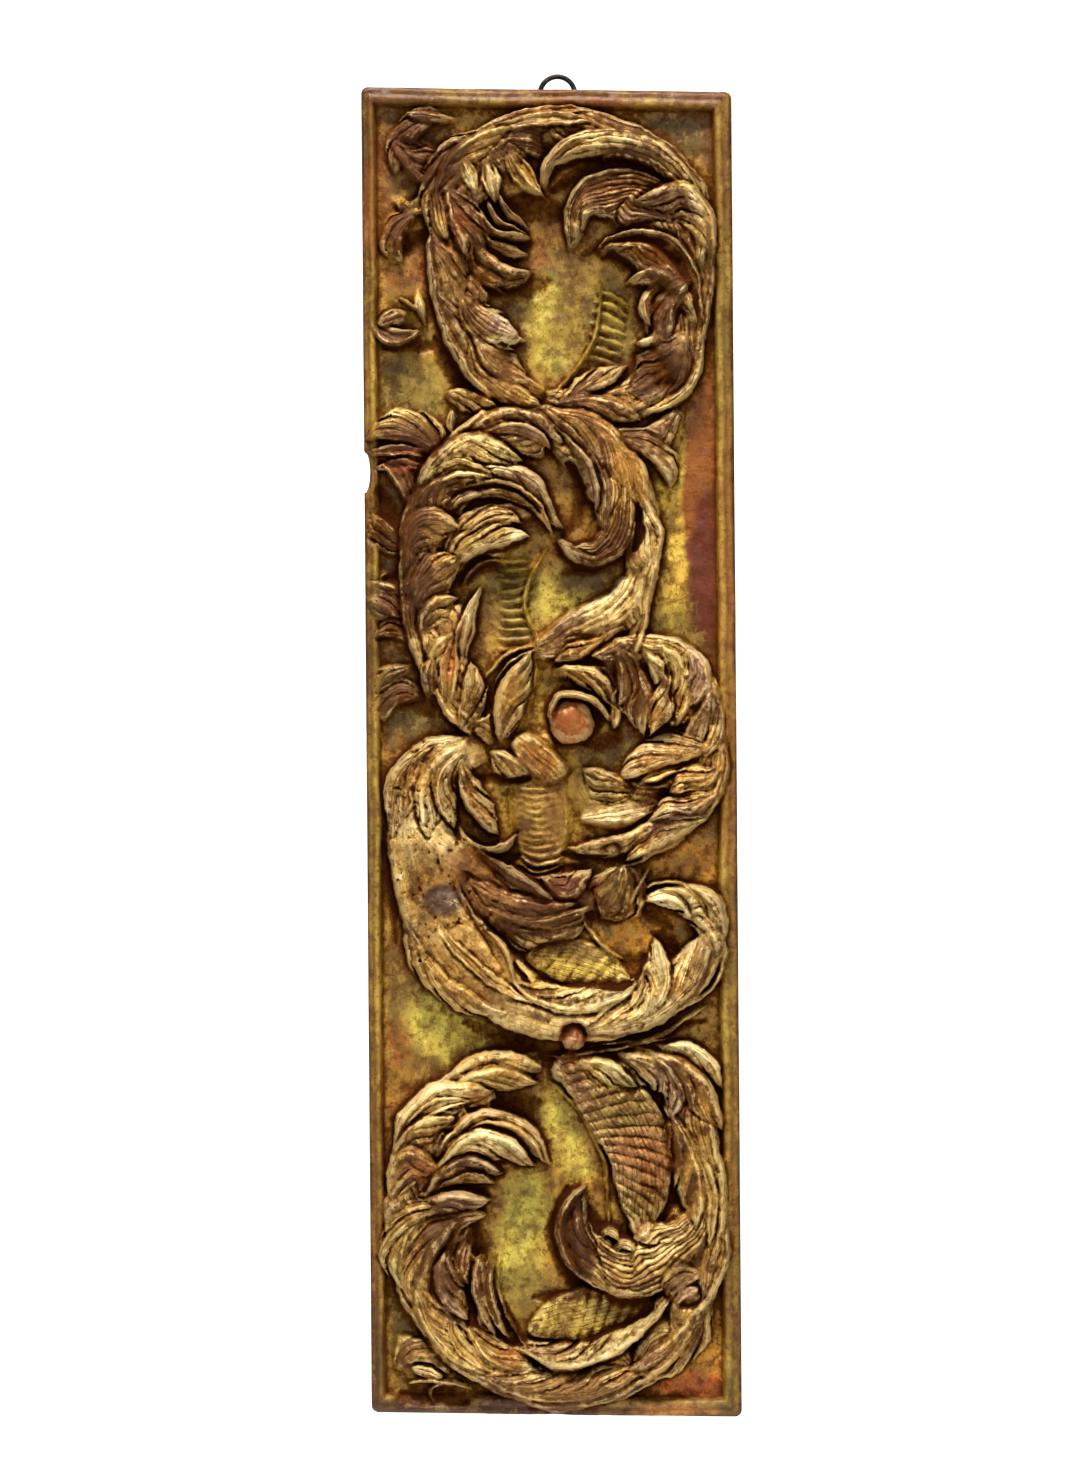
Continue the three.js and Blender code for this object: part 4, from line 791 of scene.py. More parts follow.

# Painted shade over leaf groups that lie recessed; their pale edges are held back there too
PAINTED_SHADE = (
    Patch(UMBER, (-94, 430), (36, 36), 1.0, 0, 0.3),
    Patch(UMBER, (-98, 365), (22, 36), 0.9, 0, 0.3),
    Patch(UMBER, (-104, 304), (22, 18), 0.5, 0, 0.3),
    Patch(UMBER, (-110, 172), (22, 62), 0.95, 0, 0.3),
    Patch(UMBER, (-104, 218), (30, 18), 0.85, 0, 0.3),
    Patch(UMBER, (8, -98), (30, 12), 0.5, 0, 0.4),
    Patch(UMBER, (-34, 366), (26, 26), 0.6, 0, 0.4),
    Patch(UMBER, (36, 152), (34, 24), 0.85, 0, 0.3),
    Patch(UMBER, (52, 426), (52, 6), 0.5, -5, 0.4),
    Patch(UMBER, (-60, -80), (30, 20), 0.35, -30, 0.6),
    Patch(UMBER, (8, 190), (14, 40), 0.6, 0, 0.4),
    Patch(UMBER, (-2, -118), (36, 12), 0.6, 0, 0.4),
    Patch(UMBER, (-110, 92), (20, 24), 0.8, 0, 0.3),
    Patch(UMBER, (-106, 44), (22, 24), 0.7, 0, 0.3),
    Patch(UMBER, (-98, -446), (32, 14), 0.4, 0, 0.3),
    Patch(UMBER, (-40, 345), (26, 20), 0.6, 0, 0.4),
    Patch(UMBER, (50, 392), (34, 16), 0.25, 0, 0.4),
    Patch(UMBER, (66, 352), (30, 10), 0.65, 0, 0.3),
    Patch(UMBER, (20, 444), (100, 22), 0.40, 0, 0.5),
    Patch(UMBER, (-66, 330), (20, 70), 0.30, 0, 0.5),
    Patch(UMBER, (6, -100), (30, 12), 0.4, 0, 0.4),
    Patch(UMBER, (30, 222), (50, 22), 0.35, -20, 0.5),
    Patch(UMBER, (0, -458), (90, 12), 0.35, 0, 0.5),
    Patch(UMBER, (78, 268), (24, 16), 0.6, 0, 0.4),
    Patch(UMBER, (84, 318), (14, 26), 0.5, 0, 0.5),
    Patch(UMBER, (-10, 186), (52, 9), 0.4, -12, 0.4),
    Patch(UMBER, (-40, 128), (26, 12), 0.4, 20, 0.4),
    Patch(UMBER, (46, 60), (16, 24), 0.5, 0, 0.4),
    Patch(UMBER, (-28, -66), (30, 16), 0.6, -30, 0.4),
    Patch(UMBER, (20, -112), (40, 14), 0.5, 0, 0.4),
    Patch(UMBER, (-72, -300), (34, 20), 0.3, 0, 0.5),
    Patch(UMBER, (-74, -362), (22, 46), 0.5, 0, 0.5),
    Patch(UMBER, (-42, -392), (14, 40), 0.6, 10, 0.4),
    Patch(UMBER, (12, -342), (14, 42), 1.0, 0, 0.2),
    Patch(UMBER, (80, -300), (14, 40), 0.5, 8, 0.4),
)

# Where spots of gold have flaked off a smooth body
FLAKED = (
    Patch(UMBER, (-92, -62), (28, 70), 0.9, 0, 0.6),
    Patch(UMBER, (-50, -104), (34, 18), 0.8, -24, 0.5),
    Patch(UMBER, (-56, -158), (48, 20), 0.5, -36, 0.5),
    Patch(UMBER, (50, -188), (66, 14), 0.4, 10, 0.5),
)

# Where the leaf is rubbed through to the red bole
BOLE = (
    Patch(SALMON, (14, 22), (17, 17), 1.0, 0, 0.1),
    Patch(SALMON, (14, -203), (12, 12), 0.35, 0, 0.1),
    Patch(RED, (-62, 378), (6, 16), 0.35, 12),
    Patch(RED, (-104, 209), (20, 8), 0.3),
    Patch(RED, (70, -300), (10, 24), 0.35),
    Patch(RED, (-120, 400), (9, 60), 0.35),
    Patch(RED, (126, 60), (6, 160), 0.3),
    Patch(RED, (20, 458), (60, 8), 0.3),
)


def rib_row(first: Cut, last: Cut, count: int) -> list[Cut]:
    """Spaces ribs evenly between two given ones.

    Args:
        first: Rib at one end.
        last: Rib at the other end.
        count: How many ribs there are, both ends included.

    Returns:
        The ribs in order.
    """
    ribs = []
    for i in range(count):
        share = i / (count - 1)
        path = tuple(
            (a[0] + share * (b[0] - a[0]), a[1] + share * (b[1] - a[1]))
            for a, b in zip(first.path, last.path)
        )
        width = first.width + share * (last.width - first.width)
        height = first.height + share * (last.height - first.height)
        ribs.append(Cut(first.kind, width, height, path))
    return ribs


RIB_ROWS = (
    (Cut(Kind.RIB, 5, 4, ((35, 328), (46, 325), (59, 318))), Cut(Kind.RIB, 5, 4, ((24, 284), (37, 280), (52, 274))), 7),
    (Cut(Kind.RIB, 4.5, 3.4, ((-38, 138), (-26, 137), (-15, 138))), Cut(Kind.RIB, 4.5, 3.4, ((-37, 74), (-25, 73), (-12, 76))), 10),
    (Cut(Kind.RIB, 4.2, 10.0, ((-28, -24), (-8, -27), (8, -23))), Cut(Kind.RIB, 4.4, 9.7, ((-24, -86), (-6, -90), (8, -85))), 13),
)


class Smooth:
    """Blurs and random fields over the carving grid."""

    def __init__(self, shape: tuple[int, int], step: float) -> None:
        """Prepares the frequencies of the grid.

        Args:
            shape: Rows and columns.
            step: Spacing of the grid, mm.
        """
        self.shape = shape
        self.pad = 64
        rows = shape[0] + 2 * self.pad
        columns = shape[1] + 2 * self.pad
        fz = np.fft.fftfreq(rows, step)[:, None]
        fx = np.fft.rfftfreq(columns, step)[None, :]
        self.square = fz * fz + fx * fx

    def blur(self, field_: Array, radius: float) -> Array:
        """Gaussian blur with the given radius in mm."""
        padded = np.pad(field_, self.pad, mode="edge")
        spectrum = np.fft.rfft2(padded) * np.exp(-2 * (math.pi * radius) ** 2 * self.square)
        out = np.fft.irfft2(spectrum, padded.shape)
        return out[self.pad:-self.pad, self.pad:-self.pad]

    def noise(self, seed: int, size: float) -> Array:
        """Random field with features of about that size in mm, even spread of +-1."""
        rng = np.random.default_rng(seed)
        out = self.blur(rng.standard_normal(self.shape), size * 0.35)
        return np.clip(out / (out.std() * 2.0), -1.5, 1.5)


def spline(points: tuple[Point, ...], steps: int = 12) -> Array:
    """Smooth line through the given points.

    Args:
        points: Points in order, mm.
        steps: Samples per stretch.

    Returns:
        Samples as rows of (x, z).
    """
    p = np.array(points, float)
    if len(p) == 3:
        a = np.hypot(*(p[1] - p[0]))
        b = np.hypot(*(p[2] - p[1]))
        m = min(max(a / max(a + b, 1e-6), 0.3), 0.7)
        c = (p[1] - (1 - m) ** 2 * p[0] - m * m * p[2]) / (2 * m * (1 - m))
        t = np.linspace(0, 1, 2 * steps)[:, None]
        return (1 - t) ** 2 * p[0] + 2 * t * (1 - t) * c + t * t * p[2]
    ends = np.vstack([2 * p[0] - p[1], p, 2 * p[-1] - p[-2]])
    t = np.linspace(0, 1, steps, endpoint=False)[:, None]
    out = []
    for i in range(1, len(ends) - 2):
        a, b, c, d = ends[i - 1], ends[i], ends[i + 1], ends[i + 2]
        out.append(0.5 * (2 * b + (c - a) * t + (2 * a - 5 * b + 4 * c - d) * t**2 + (3 * b - a - 3 * c + d) * t**3))
    out.append(p[-1:])
    return np.vstack(out)


def along(x: Array, z: Array, line: Array) -> tuple[Array, Array, float]:
    """Place of grid points beside a line.

    Args:
        x: Across the panel, mm.
        z: Up the panel, mm.
        line: Samples of the line.

    Returns:
        Share of the length reached, distance to its left, and its length.
    """
    best = np.full(x.shape, 1e9)
    share = np.zeros(x.shape)
    side = np.zeros(x.shape)
    legs = np.diff(line, axis=0)
    lengths = np.hypot(legs[:, 0], legs[:, 1])
    start = np.concatenate([[0], np.cumsum(lengths)])
    for k, (dx, dz) in enumerate(legs):
        wx = x - line[k, 0]
        wz = z - line[k, 1]
        f = np.clip((wx * dx + wz * dz) / max(lengths[k] ** 2, 1e-9), 0, 1)
        ax = wx - f * dx
        az = wz - f * dz
        d = ax * ax + az * az
        near = d < best
        best = np.where(near, d, best)
        share = np.where(near, (start[k] + f * lengths[k]) / start[-1], share)
        side = np.where(near, np.sign(dx * wz - dz * wx) * np.sqrt(d), side)
    return share, side, float(start[-1])


def flute(phase: Array, sharp: float = 0.7) -> Array:
    """Rounded strands with sharp grooves between them, 0 in a groove and 1 on a strand."""
    return np.abs(np.cos(math.pi * phase)) ** sharp


LEAVES = (Kind.SCOOP, Kind.CREST, Kind.LEAF, Kind.LOBE)
PLUMES = {Kind.PLUME_LEFT: (0.30, 1.0), Kind.PLUME_RIGHT: (1.0, 0.30), Kind.ACANTHUS: (0.85, 0.85)}


class Carving:
    """The whole carved face as heights over the sunk ground."""

    TAPER_BOTH = {Kind.ROLL: 0.30, Kind.RIM: 0.30, Kind.RIDGE: 0.40, Kind.RIB: 0.35, Kind.MASS: 0.40, Kind.SHELL: 0.6}
    GROOVE = {Kind.MASS: 0.0, Kind.RIBBED: 0.0, Kind.RIB: 0.6, Kind.RIDGE: 1.2}

    def __init__(self, step: float = GRID_STEP) -> None:
        """Lays out the grid.

        Args:
            step: Spacing of the grid, mm.
        """
        self.step = step
        columns = round(PANEL_WIDTH / step) + 1
        rows = round(PANEL_HEIGHT / step) + 1
        self.x_line = np.linspace(-PANEL_WIDTH / 2, PANEL_WIDTH / 2, columns)
        self.z_line = np.linspace(-PANEL_HEIGHT / 2, PANEL_HEIGHT / 2, rows)
        self.x, upright = np.meshgrid(self.x_line, self.z_line)
        self.z = upright - OUT_OF_SQUARE * self.x / PANEL_WIDTH
        self.smooth = Smooth(self.x.shape, step)
        left = self.x + PANEL_WIDTH / 2
        right = PANEL_WIDTH / 2 - self.x
        top = PANEL_HEIGHT / 2 - upright
        bottom = upright + PANEL_HEIGHT / 2
        self.inset = np.minimum(np.minimum(left, right), np.minimum(top, bottom))
        warp = self.smooth.noise
        self.wx = self.x + 1.3 * warp(1, 16) + 0.45 * warp(2, 4)
        self.wz = self.z + 1.3 * warp(3, 16) + 0.45 * warp(4, 4)
        self.ragged = 0.5 * warp(11, 18) + 0.5 * warp(12, 6)
        self.crisp = np.clip(0.92 + 0.34 * warp(13, 22) + 0.28 * warp(14, 7), 0.25, 1.35)
        self.border = np.minimum(np.minimum(left * BORDER_WIDTH / LEFT_BORDER, right), np.minimum(top, bottom))
        self.inner = np.clip((self.border - BORDER_WIDTH + 1.5) / 3, 0, 1)
        self.height = np.zeros(self.x.shape)
        self.bed = self.height
        self.across = np.zeros(self.x.shape)
        self.shadow_and_flakes = np.zeros(self.x.shape)
        self.shade = np.zeros(self.x.shape)
        self.combed = np.zeros(self.x.shape)
        self.cast = np.zeros(self.x.shape)

    def window(self, line: Array, margin: float) -> tuple[slice, slice]:
        """Part of the grid within a margin of a line.

        Args:
            line: Samples of the line.
            margin: Margin, mm.

        Returns:
            Row and column slices.
        """
        margin += OUT_OF_SQUARE / 2
        low = line.min(0) - margin
        high = line.max(0) + margin
        i0 = max(0, int((low[1] - self.z_line[0]) / self.step))
        i1 = max(i0 + 1, int((high[1] - self.z_line[0]) / self.step) + 2)
        j0 = max(0, int((low[0] - self.x_line[0]) / self.step))
        j1 = max(j0 + 1, int((high[0] - self.x_line[0]) / self.step) + 2)
        return slice(i0, i1), slice(j0, j1)

    def lay_band(self, band: Band, seed: int) -> None:
        """Raises one broad scroll body with its strands and inner leaf tips.

        Args:
            band: The body.
            seed: Start of its random unevenness.
        """
        line = spline(band.edge)
        part = self.window(line, max(band.widths) + 4)
        share, side, length = along(self.wx[part], self.wz[part], line)
        side = side * band.inward
        stations = np.linspace(0, 1, len(band.widths))
        width = np.interp(share, stations, band.widths)
        u = side / width
        lobe = (share * band.tips - 1.1 * u) % 1.0
        reach = 1 - band.bite * np.abs(2 * lobe - 1) ** 1.8
        u = u / reach
        rise = np.interp(u, (-0.02, 0.0, 0.05, 0.14, 0.35, 0.75, 0.93, 1.0), (0, 0.2, 0.74, 0.92, 1.0, 0.86, 0.6, 0.0))
        ends = np.clip(np.minimum(share, 1 - share) / 0.05, 0, 1) ** 0.5
        phase = u * band.strands - share * band.drift
        strand = np.floor(phase + 0.5)
        uneven = np.sin(strand * 12.9898 + seed) * np.sin(share * length / 17 + strand * 4.1)
        strands = flute(phase, 0.55) - 0.6 + 0.45 * uneven
        inner = np.clip((u - 0.35) / 0.5, 0, 1)
        cut_in = band.relief * self.crisp[part]
        body = band.height * rise * ends + cut_in * strands * np.clip(rise * 1.6, 0, 1) * ends
        body = body + inner * ends * cut_in * (1.3 * (lobe - 0.5) - 1.1 * np.clip(1 - lobe / 0.12, 0, 1))
        if band.hood:
            shadow = np.exp(-(((u - 0.27) / 0.15) ** 2)) * ends
            body = body + 0.22 * band.height * np.exp(-(((u - 0.04) / 0.05) ** 2)) * ends - band.hood * shadow
            # The hollow under the hood is painted dark as its shadow.
            self.shadow_and_flakes[part] = np.maximum(self.shadow_and_flakes[part], 1.6 * shadow * (u > 0.1) * min(1.0, band.hood / 10))
            outside = np.clip(1 + side / 2.4, 0, 1) * (side < 0) * ends
            self.height[part] -= outside * np.minimum(3.0, np.maximum(0, self.height[part] - 4))
        higher = (u > -0.02) & (u < 1.0) & (body > self.height[part])
        self.height[part] = np.where(higher, body, self.height[part])
        lines = max(1, round(float(np.mean(band.widths)) / band.strands / LINE))
        self.across[part] = np.where(higher, (lines * (phase + 0.5)) * LINE, self.across[part])
        combed = min(max(band.relief - 0.9, 0.0), 1.1)
        base = 0.25 - 0.5 * combed
        tone_ = 0.9 * np.sin(strand * 7.3 + 2 * seed) * np.clip(np.sin(share * length / 23 + strand), 0, 1) + base
        self.shade[part] = np.where(higher, tone_ + 0.5 * inner, self.shade[part])
        self.combed[part] = np.where(higher, combed, self.combed[part])
        self.cast[part] = np.where(higher, np.sin(strand * 4.7 + 1.9 * seed), self.cast[part])

    def taper(self, kind: Kind, t: Array) -> Array:
        """Share of the full width reached along a form.

        Args:
            kind: How the form is shaped.
            t: Share of its length.

        Returns:
            Shares from 0 to 1.
        """
        if kind in self.TAPER_BOTH:
            return np.clip(np.sin(math.pi * t), 0, 1) ** self.TAPER_BOTH[kind]
        if kind is Kind.CREST:
            return (0.35 + 0.65 * np.clip(t / 0.6, 0, 1)) * np.clip((1 - t) / 0.22, 0, 1) ** 0.6
        if kind is Kind.LEAF:
            return np.clip(t / 0.45, 0, 1) ** 0.6 * np.clip((1 - t) / 0.5, 0, 1) ** 0.75
        if kind is Kind.LOBE:
            return (0.45 + 0.55 * np.clip(t / 0.5, 0, 1)) * np.clip((1 - t) / 0.28, 0, 1) ** 0.5
        if kind is Kind.SCOOP:
            return (0.40 + 0.60 * np.clip(t / 0.5, 0, 1)) * np.clip((1 - t) / 0.35, 0, 1) ** 0.6
        if kind is Kind.RIBBED:
            return np.clip(np.sin(math.pi * (0.08 + 0.92 * t)), 0, 1) ** 0.45
        return np.clip(np.sin(math.pi * (0.10 + 0.86 * t)), 0, 1) ** 0.5

    def section(self, cut: Cut, u: Array, t: Array, length: float) -> Array:
        """Share of the full height reached across a form.

        Args:
            cut: The form.
            u: Place across it, -1 to 1.
            t: Share of its length.
            length: Its length, mm.

        Returns:
            Shares of the height.
        """
        a = np.abs(u)
        if cut.kind is Kind.CREST:
            return 0.58 + 0.42 * np.clip((u + 1) / 1.6, 0, 1) ** 1.3
        if cut.kind is Kind.LEAF:
            return 0.80 + 0.20 * np.exp(-((u / 0.25) ** 2)) - 0.12 * np.exp(-(((a - 0.5) / 0.25) ** 2))
        if cut.kind is Kind.SCOOP:
            return 0.70 + 0.30 * np.clip(a / 0.8, 0, 1) ** 2
        if cut.kind is Kind.LOBE:
            return np.sqrt(np.clip(1 - 0.45 * a * a, 0, 1))
        if cut.kind is Kind.RIBBED:
            return 0.86 + 0.14 * flute(max(2, round(cut.width / 5.0)) * u / 2)
        if cut.kind in (Kind.SHELL, Kind.FAN):
            count = max(5, round(length / 9.0))
            return (0.76 + 0.18 * flute(count * (t - 0.10 * u))) * np.sqrt(np.clip(1 - 0.45 * a * a, 0, 1))
        return np.sqrt(np.clip(1 - 0.75 * a * a, 0, 1))

    def lay(self, cut: Cut, order: int) -> None:
        """Lays one form over what is already carved.

        Args:
            cut: The form.
            order: Its place in the carving order, which varies its gouge marks.
        """
        if cut.kind is Kind.BALL:
            self.lay_ball(cut)
            return
        if cut.kind in PLUMES:
            self.lay_plume(cut, order)
            return
        line = spline(cut.path)
        part = self.window(line, cut.width / 2 + 4)
        t, side, length = along(self.wx[part], self.wz[part], line)
        half = np.maximum(cut.width / 2 * self.taper(cut.kind, t), 0.25)
        u = np.clip(side / half, -1, 1)
        shape = self.section(cut, u, t, length)
        if cut.kind in (Kind.MASS, Kind.RIB):
            swell = 0.6 + 0.4 * np.sin(math.pi * t)
        elif cut.kind in LEAVES:
            swell = np.interp(t, (0, 0.5, 0.85, 1), (0.70, 0.96, 1.06, 0.98))
        else:
            swell = 0.82 + 0.18 * np.sin(math.pi * t)
        surface = cut.height * shape * swell
        old = self.height[part]
        phase = side / LINE
        if cut.kind not in (Kind.MASS, Kind.RIB, Kind.RIDGE):
            lift = 0.20 * cut.height
            surface = np.maximum(surface, self.bed[part] + lift * (2.2 * shape - 1.2) * swell)
        if cut.kind in LEAVES or cut.kind is Kind.ROLL:
            count = max(2, round(cut.width / 3.6))
            phase = count * u / 2 + 0.17 * order + 0.05 * np.sin(6 * t + order)
            surface = surface + 1.9 * self.crisp[part] * (flute(phase) - 0.6) * np.clip(t / 0.2, 0.15, 1)
        out = np.abs(side) - half
        soft = cut.kind in (Kind.MASS, Kind.RIBBED)
        share = np.clip(-out / (5.0 if soft else 1.2), 0, 1) ** (1.0 if soft else 0.55)
        grown = self.grown(cut.kind, t)
        if cut.kind in (Kind.MASS, Kind.RIB, Kind.RIDGE):
            new = np.maximum(old, old + (surface - old) * share)
        else:
            new = old + (surface - old) * share * grown
        reach = 2.2 + (1.8 * (side > 0) if cut.kind is Kind.CREST else 0.0)
        deep = self.GROOVE.get(cut.kind, 2.6) + (2.2 * (side > 0) if cut.kind is Kind.CREST else 0.0)
        groove = np.where(out > 0, np.clip(1 - out / reach, 0, 1), 0) * grown * self.crisp[part]
        floor = cut.height * 0.2 - 3
        self.height[part] = new - groove * np.minimum(deep, np.maximum(0, new - floor))
        self.across[part] = np.where((share * grown > 0.5), (phase + 0.5) * LINE, self.across[part])
        if cut.kind not in (Kind.MASS, Kind.RIB, Kind.RIDGE):
            self.paint_light_and_cast(part, share * grown, 0.9 * (t - 0.5) + 0.35 * np.sin(5.1 * order), order)

    def lay_plume(self, cut: Cut, order: int) -> None:
        """Lays one lobed leaf, its lobes lapping like feathers.

        Args:
            cut: The leaf.
            order: Its place in the carving order, which varies its gouge marks.
        """
        line = spline(cut.path)
        part = self.window(line, cut.width + 4)
        t, side, length = along(self.wx[part], self.wz[part], line)
        right, left = PLUMES[cut.kind]
        share = np.where(side > 0, left, right)
        full = cut.width * share * np.clip(t / 0.30, 0.25, 1) ** 0.7 * np.clip((1 - t) / 0.30, 0.02, 1) ** 0.65
        u = np.abs(side) / full
        lobed = share > 0.5
        count = max(1.6, length / 24.0)
        run = t * count - 2.3 * u ** 0.8 + 0.31 * order
        lobe = run % 1.0
        tip = 1 - np.where(lobed, 0.30 * np.clip(1 - lobe / 0.35, 0, 1) ** 1.3, 0)
        u = u / tip
        ridge = np.where(lobed, 1 - 0.40 * np.clip(u, 0, 1) ** 1.3, np.sqrt(np.clip(1 - 0.8 * u * u, 0, 1)))
        surface = cut.height * ridge * np.interp(t, (0, 0.5, 0.85, 1), (0.80, 1.0, 1.0, 0.86))
        lift = 0.25 * cut.height
        surface = np.maximum(surface, self.bed[part] + lift * (2.0 * ridge - 1.2))
        lap = np.where(lobed, np.clip(u / 0.35, 0, 1), 0)
        strand = np.floor(run)
        uneven = 0.6 + 0.7 * np.sin(strand * 12.9898 + order) ** 2
        crisp = self.crisp[part]
        surface += lap * uneven * crisp * (2.2 * (lobe - 0.5) - 1.5 * np.clip(1 - lobe / 0.14, 0, 1))
        back = u * cut.width * share / 3.6 + 0.3 * order
        surface += 1.3 * lap * crisp * (flute(3 * lobe) - 0.6)
        surface += (1 - lap) * 1.7 * crisp * (flute(back) - 0.6)
        inside = np.clip((1 - u) * full / 1.4, 0, 1) ** 0.55
        grown = self.grown(cut.kind, t)
        old = self.height[part]
        new = old + (surface - old) * inside * grown
        out = (u - 1) * full
        groove = np.where(out > 0, np.clip(1 - out / 2.4, 0, 1), 0) * grown * crisp
        self.height[part] = new - groove * np.minimum(2.6, np.maximum(0, new - cut.height * 0.2 + 3))
        phase = np.where(lap > 0.5, 3 * lobe, back)
        self.across[part] = np.where(inside * grown > 0.5, (phase + 0.5) * LINE, self.across[part])
        lit = 0.5 * (t - 0.5) + 0.35 * np.sin(5.1 * order) + lap * (0.9 * (lobe - 0.5) + 0.3 * np.sin(3.3 * strand + order))
        self.paint_light_and_cast(part, inside * grown, lit, order)

    def paint_light_and_cast(self, part: tuple[slice, slice], share: Array, lit: Array, order: int) -> None:
        """Notes painted light and shade on one leaf, from a darker root to a lighter tip, and its own cast of colour.

        Args:
            part: Part of the grid.
            share: How far the leaf covers each point.
            lit: Lightness, about -1 to 1.
            order: Its place in the carving order, which gives its cast.
        """
        cover = np.clip(2 * share - 0.5, 0, 1)
        self.shade[part] += cover * (lit - self.shade[part])
        self.combed[part] += cover * (0.75 - self.combed[part])
        self.cast[part] += cover * (math.sin(2.399 * order) - self.cast[part])

    def grown(self, kind: Kind, t: Array) -> Array:
        """How far a form has grown out of the wood behind it.

        Args:
            kind: How the form is shaped.
            t: Share of its length.

        Returns:
            0 at a root that merges with its bed, 1 where the form stands free.
        """
        if kind in LEAVES:
            s = np.clip(t / 0.34, 0, 1)
        elif kind in PLUMES:
            s = np.clip(t / 0.16, 0, 1)
        elif kind in (Kind.ROLL, Kind.RIM, Kind.RIBBED):
            s = np.clip(np.minimum(t, 1 - t) / 0.10, 0, 1)
        else:
            return np.ones(t.shape)
        return s * s * (3 - 2 * s)

    def lay_ball(self, cut: Cut) -> None:
        """Lays one round knob.

        Args:
            cut: The knob, whose path is its middle.
        """
        middle = np.array(cut.path)
        radius = cut.width / 2
        part = self.window(middle, radius + 4)
        d = np.hypot(self.wx[part] - middle[0, 0], self.wz[part] - middle[0, 1])
        dome = cut.height * (0.35 + 0.65 * np.sqrt(np.clip(1 - (d / radius) ** 2, 0, 1)))
        old = self.height[part]
        new = old + (dome - old) * np.clip((radius - d) / 1.2, 0, 1) ** 0.6
        groove = np.where(d > radius, np.clip(1 - (d - radius) / 2.6, 0, 1), 0)
        self.height[part] = new - groove * np.minimum(3.5, np.maximum(0, new - (cut.height * 0.35 - 6)))

    def dig(self, pit: Pit) -> None:
        """Hollows the bed along a line and marks painted shade in it.

        Args:
            pit: The hollow.
        """
        line = spline(pit.path)
        part = self.window(line, pit.width)
        t, side, length = along(self.wx[part], self.wz[part], line)
        away = np.abs(side) / (pit.width / 2 * np.clip(np.sin(math.pi * (0.05 + 0.9 * t)), 0.05, 1) ** 0.5)
        bowl = np.clip(1 - away**2, 0, 1) ** 0.7
        self.height[part] -= bowl * np.minimum(pit.depth, np.maximum(0, self.height[part] + 2))
        # Painted shade in the pit, kept in the same mark as the flaked spots.
        self.shadow_and_flakes[part] = np.maximum(self.shadow_and_flakes[part], np.clip(1.25 - away, 0, 1))

    def carve(self) -> None:
        """Carves border, bodies, forms and the unevenness of hand work, in that order."""
        noise = self.smooth.noise
        inset = self.border + 0.5 * noise(5, 40) + 0.25 * noise(15, 7)
        dents = 0.45 * noise(16, 14) + 0.30 * noise(19, 4)
        border = np.interp(inset, *np.array(MOULDING).T) + dents * np.clip(inset / 3, 0, 1)
        ground = 0.8 * noise(6, 26) + 0.45 * noise(7, 6)
        inner = self.inner
        self.height = border + ground * inner
        for seed, band in enumerate(BANDS):
            self.lay_band(band, seed)
        for order, cut in enumerate(MASSES):
            self.lay(cut, order)
        for pit in PITS:
            self.dig(pit)
        for seed, band in enumerate(BUNDLES):
            self.lay_band(band, seed + len(BANDS))
        self.bed = self.smooth.blur(self.height, 3.0)
        for first, last, count in RIB_ROWS:
            for order, cut in enumerate(rib_row(first, last, count)):
                self.lay(cut, order)
        for group in (TOP_CUTS, SECOND_CUTS, THIRD_CUTS, BOTTOM_CUTS):
            for order, cut in enumerate(group):
                self.lay(cut, order)
        rough = self.smooth.blur(self.height, 0.45)
        rubbed = np.clip(0.95 - self.crisp, 0, 0.7)
        rough += rubbed * (self.smooth.blur(self.height, 1.5) - rough)
        carved = np.clip(rough / 12, 0, 1) * inner
        pitted = np.clip(noise(17, 3.2) - 0.75, 0, 0.6) * np.clip(0.4 + noise(18, 30), 0, 1)
        rough += carved * (0.60 * noise(8, 6) + 0.30 * noise(9, 2.2) - 1.8 * pitted) + 0.10 * noise(10, 2)
        rough -= 0.9 * self.flaked()
        self.height = np.clip(rough, -2.5, 31.0)

    def flaked(self) -> Array:
        """Small spots, 0 to 1, where gold and gesso have flaked from the smooth body of the third scroll."""
        spots = np.clip((self.smooth.noise(41, 2.6) - 0.55) / 0.7, 0, 1)
        return spots * sum(self.cover(patch) for patch in FLAKED)

    def hollow(self, radius: float) -> Array:
        """How far each point lies below its surroundings within a radius in mm, as a slope."""
        return (self.smooth.blur(self.height, radius) - self.height) / radius

    def marks(self) -> dict[str, Array]:
        """Numbers the finish reads: hollows, rubbed and lit edges, painted shade and light, carved leaf against plain
        ground, bare bole.

        Returns:
            Grids from 0 to 1 by name.
        """
        near, close, far, wide = (self.hollow(radius) for radius in (1.5, 4.0, 9.0, 18.0))
        leafy = self.leafy()
        # Hollows darken the finish: patina in them, and painted shade in recesses and round the foot of the carving.
        carved = 0.26 * near + 0.40 * close + 0.34 * far + 0.12 * wide
        plain = 0.12 * near + 0.13 * close + 0.10 * far + 0.06 * wide
        hollow = plain + (carved - plain) * leafy
        painted_shade = np.zeros(self.x.shape)
        for patch in PAINTED_SHADE:
            painted_shade = np.maximum(painted_shade, self.cover(patch))
        bright = np.zeros(self.x.shape)
        for patch in LEAF_PATCHES:
            if patch.colour in (CREAM, YELLOW):
                bright = np.maximum(bright, self.cover(patch))
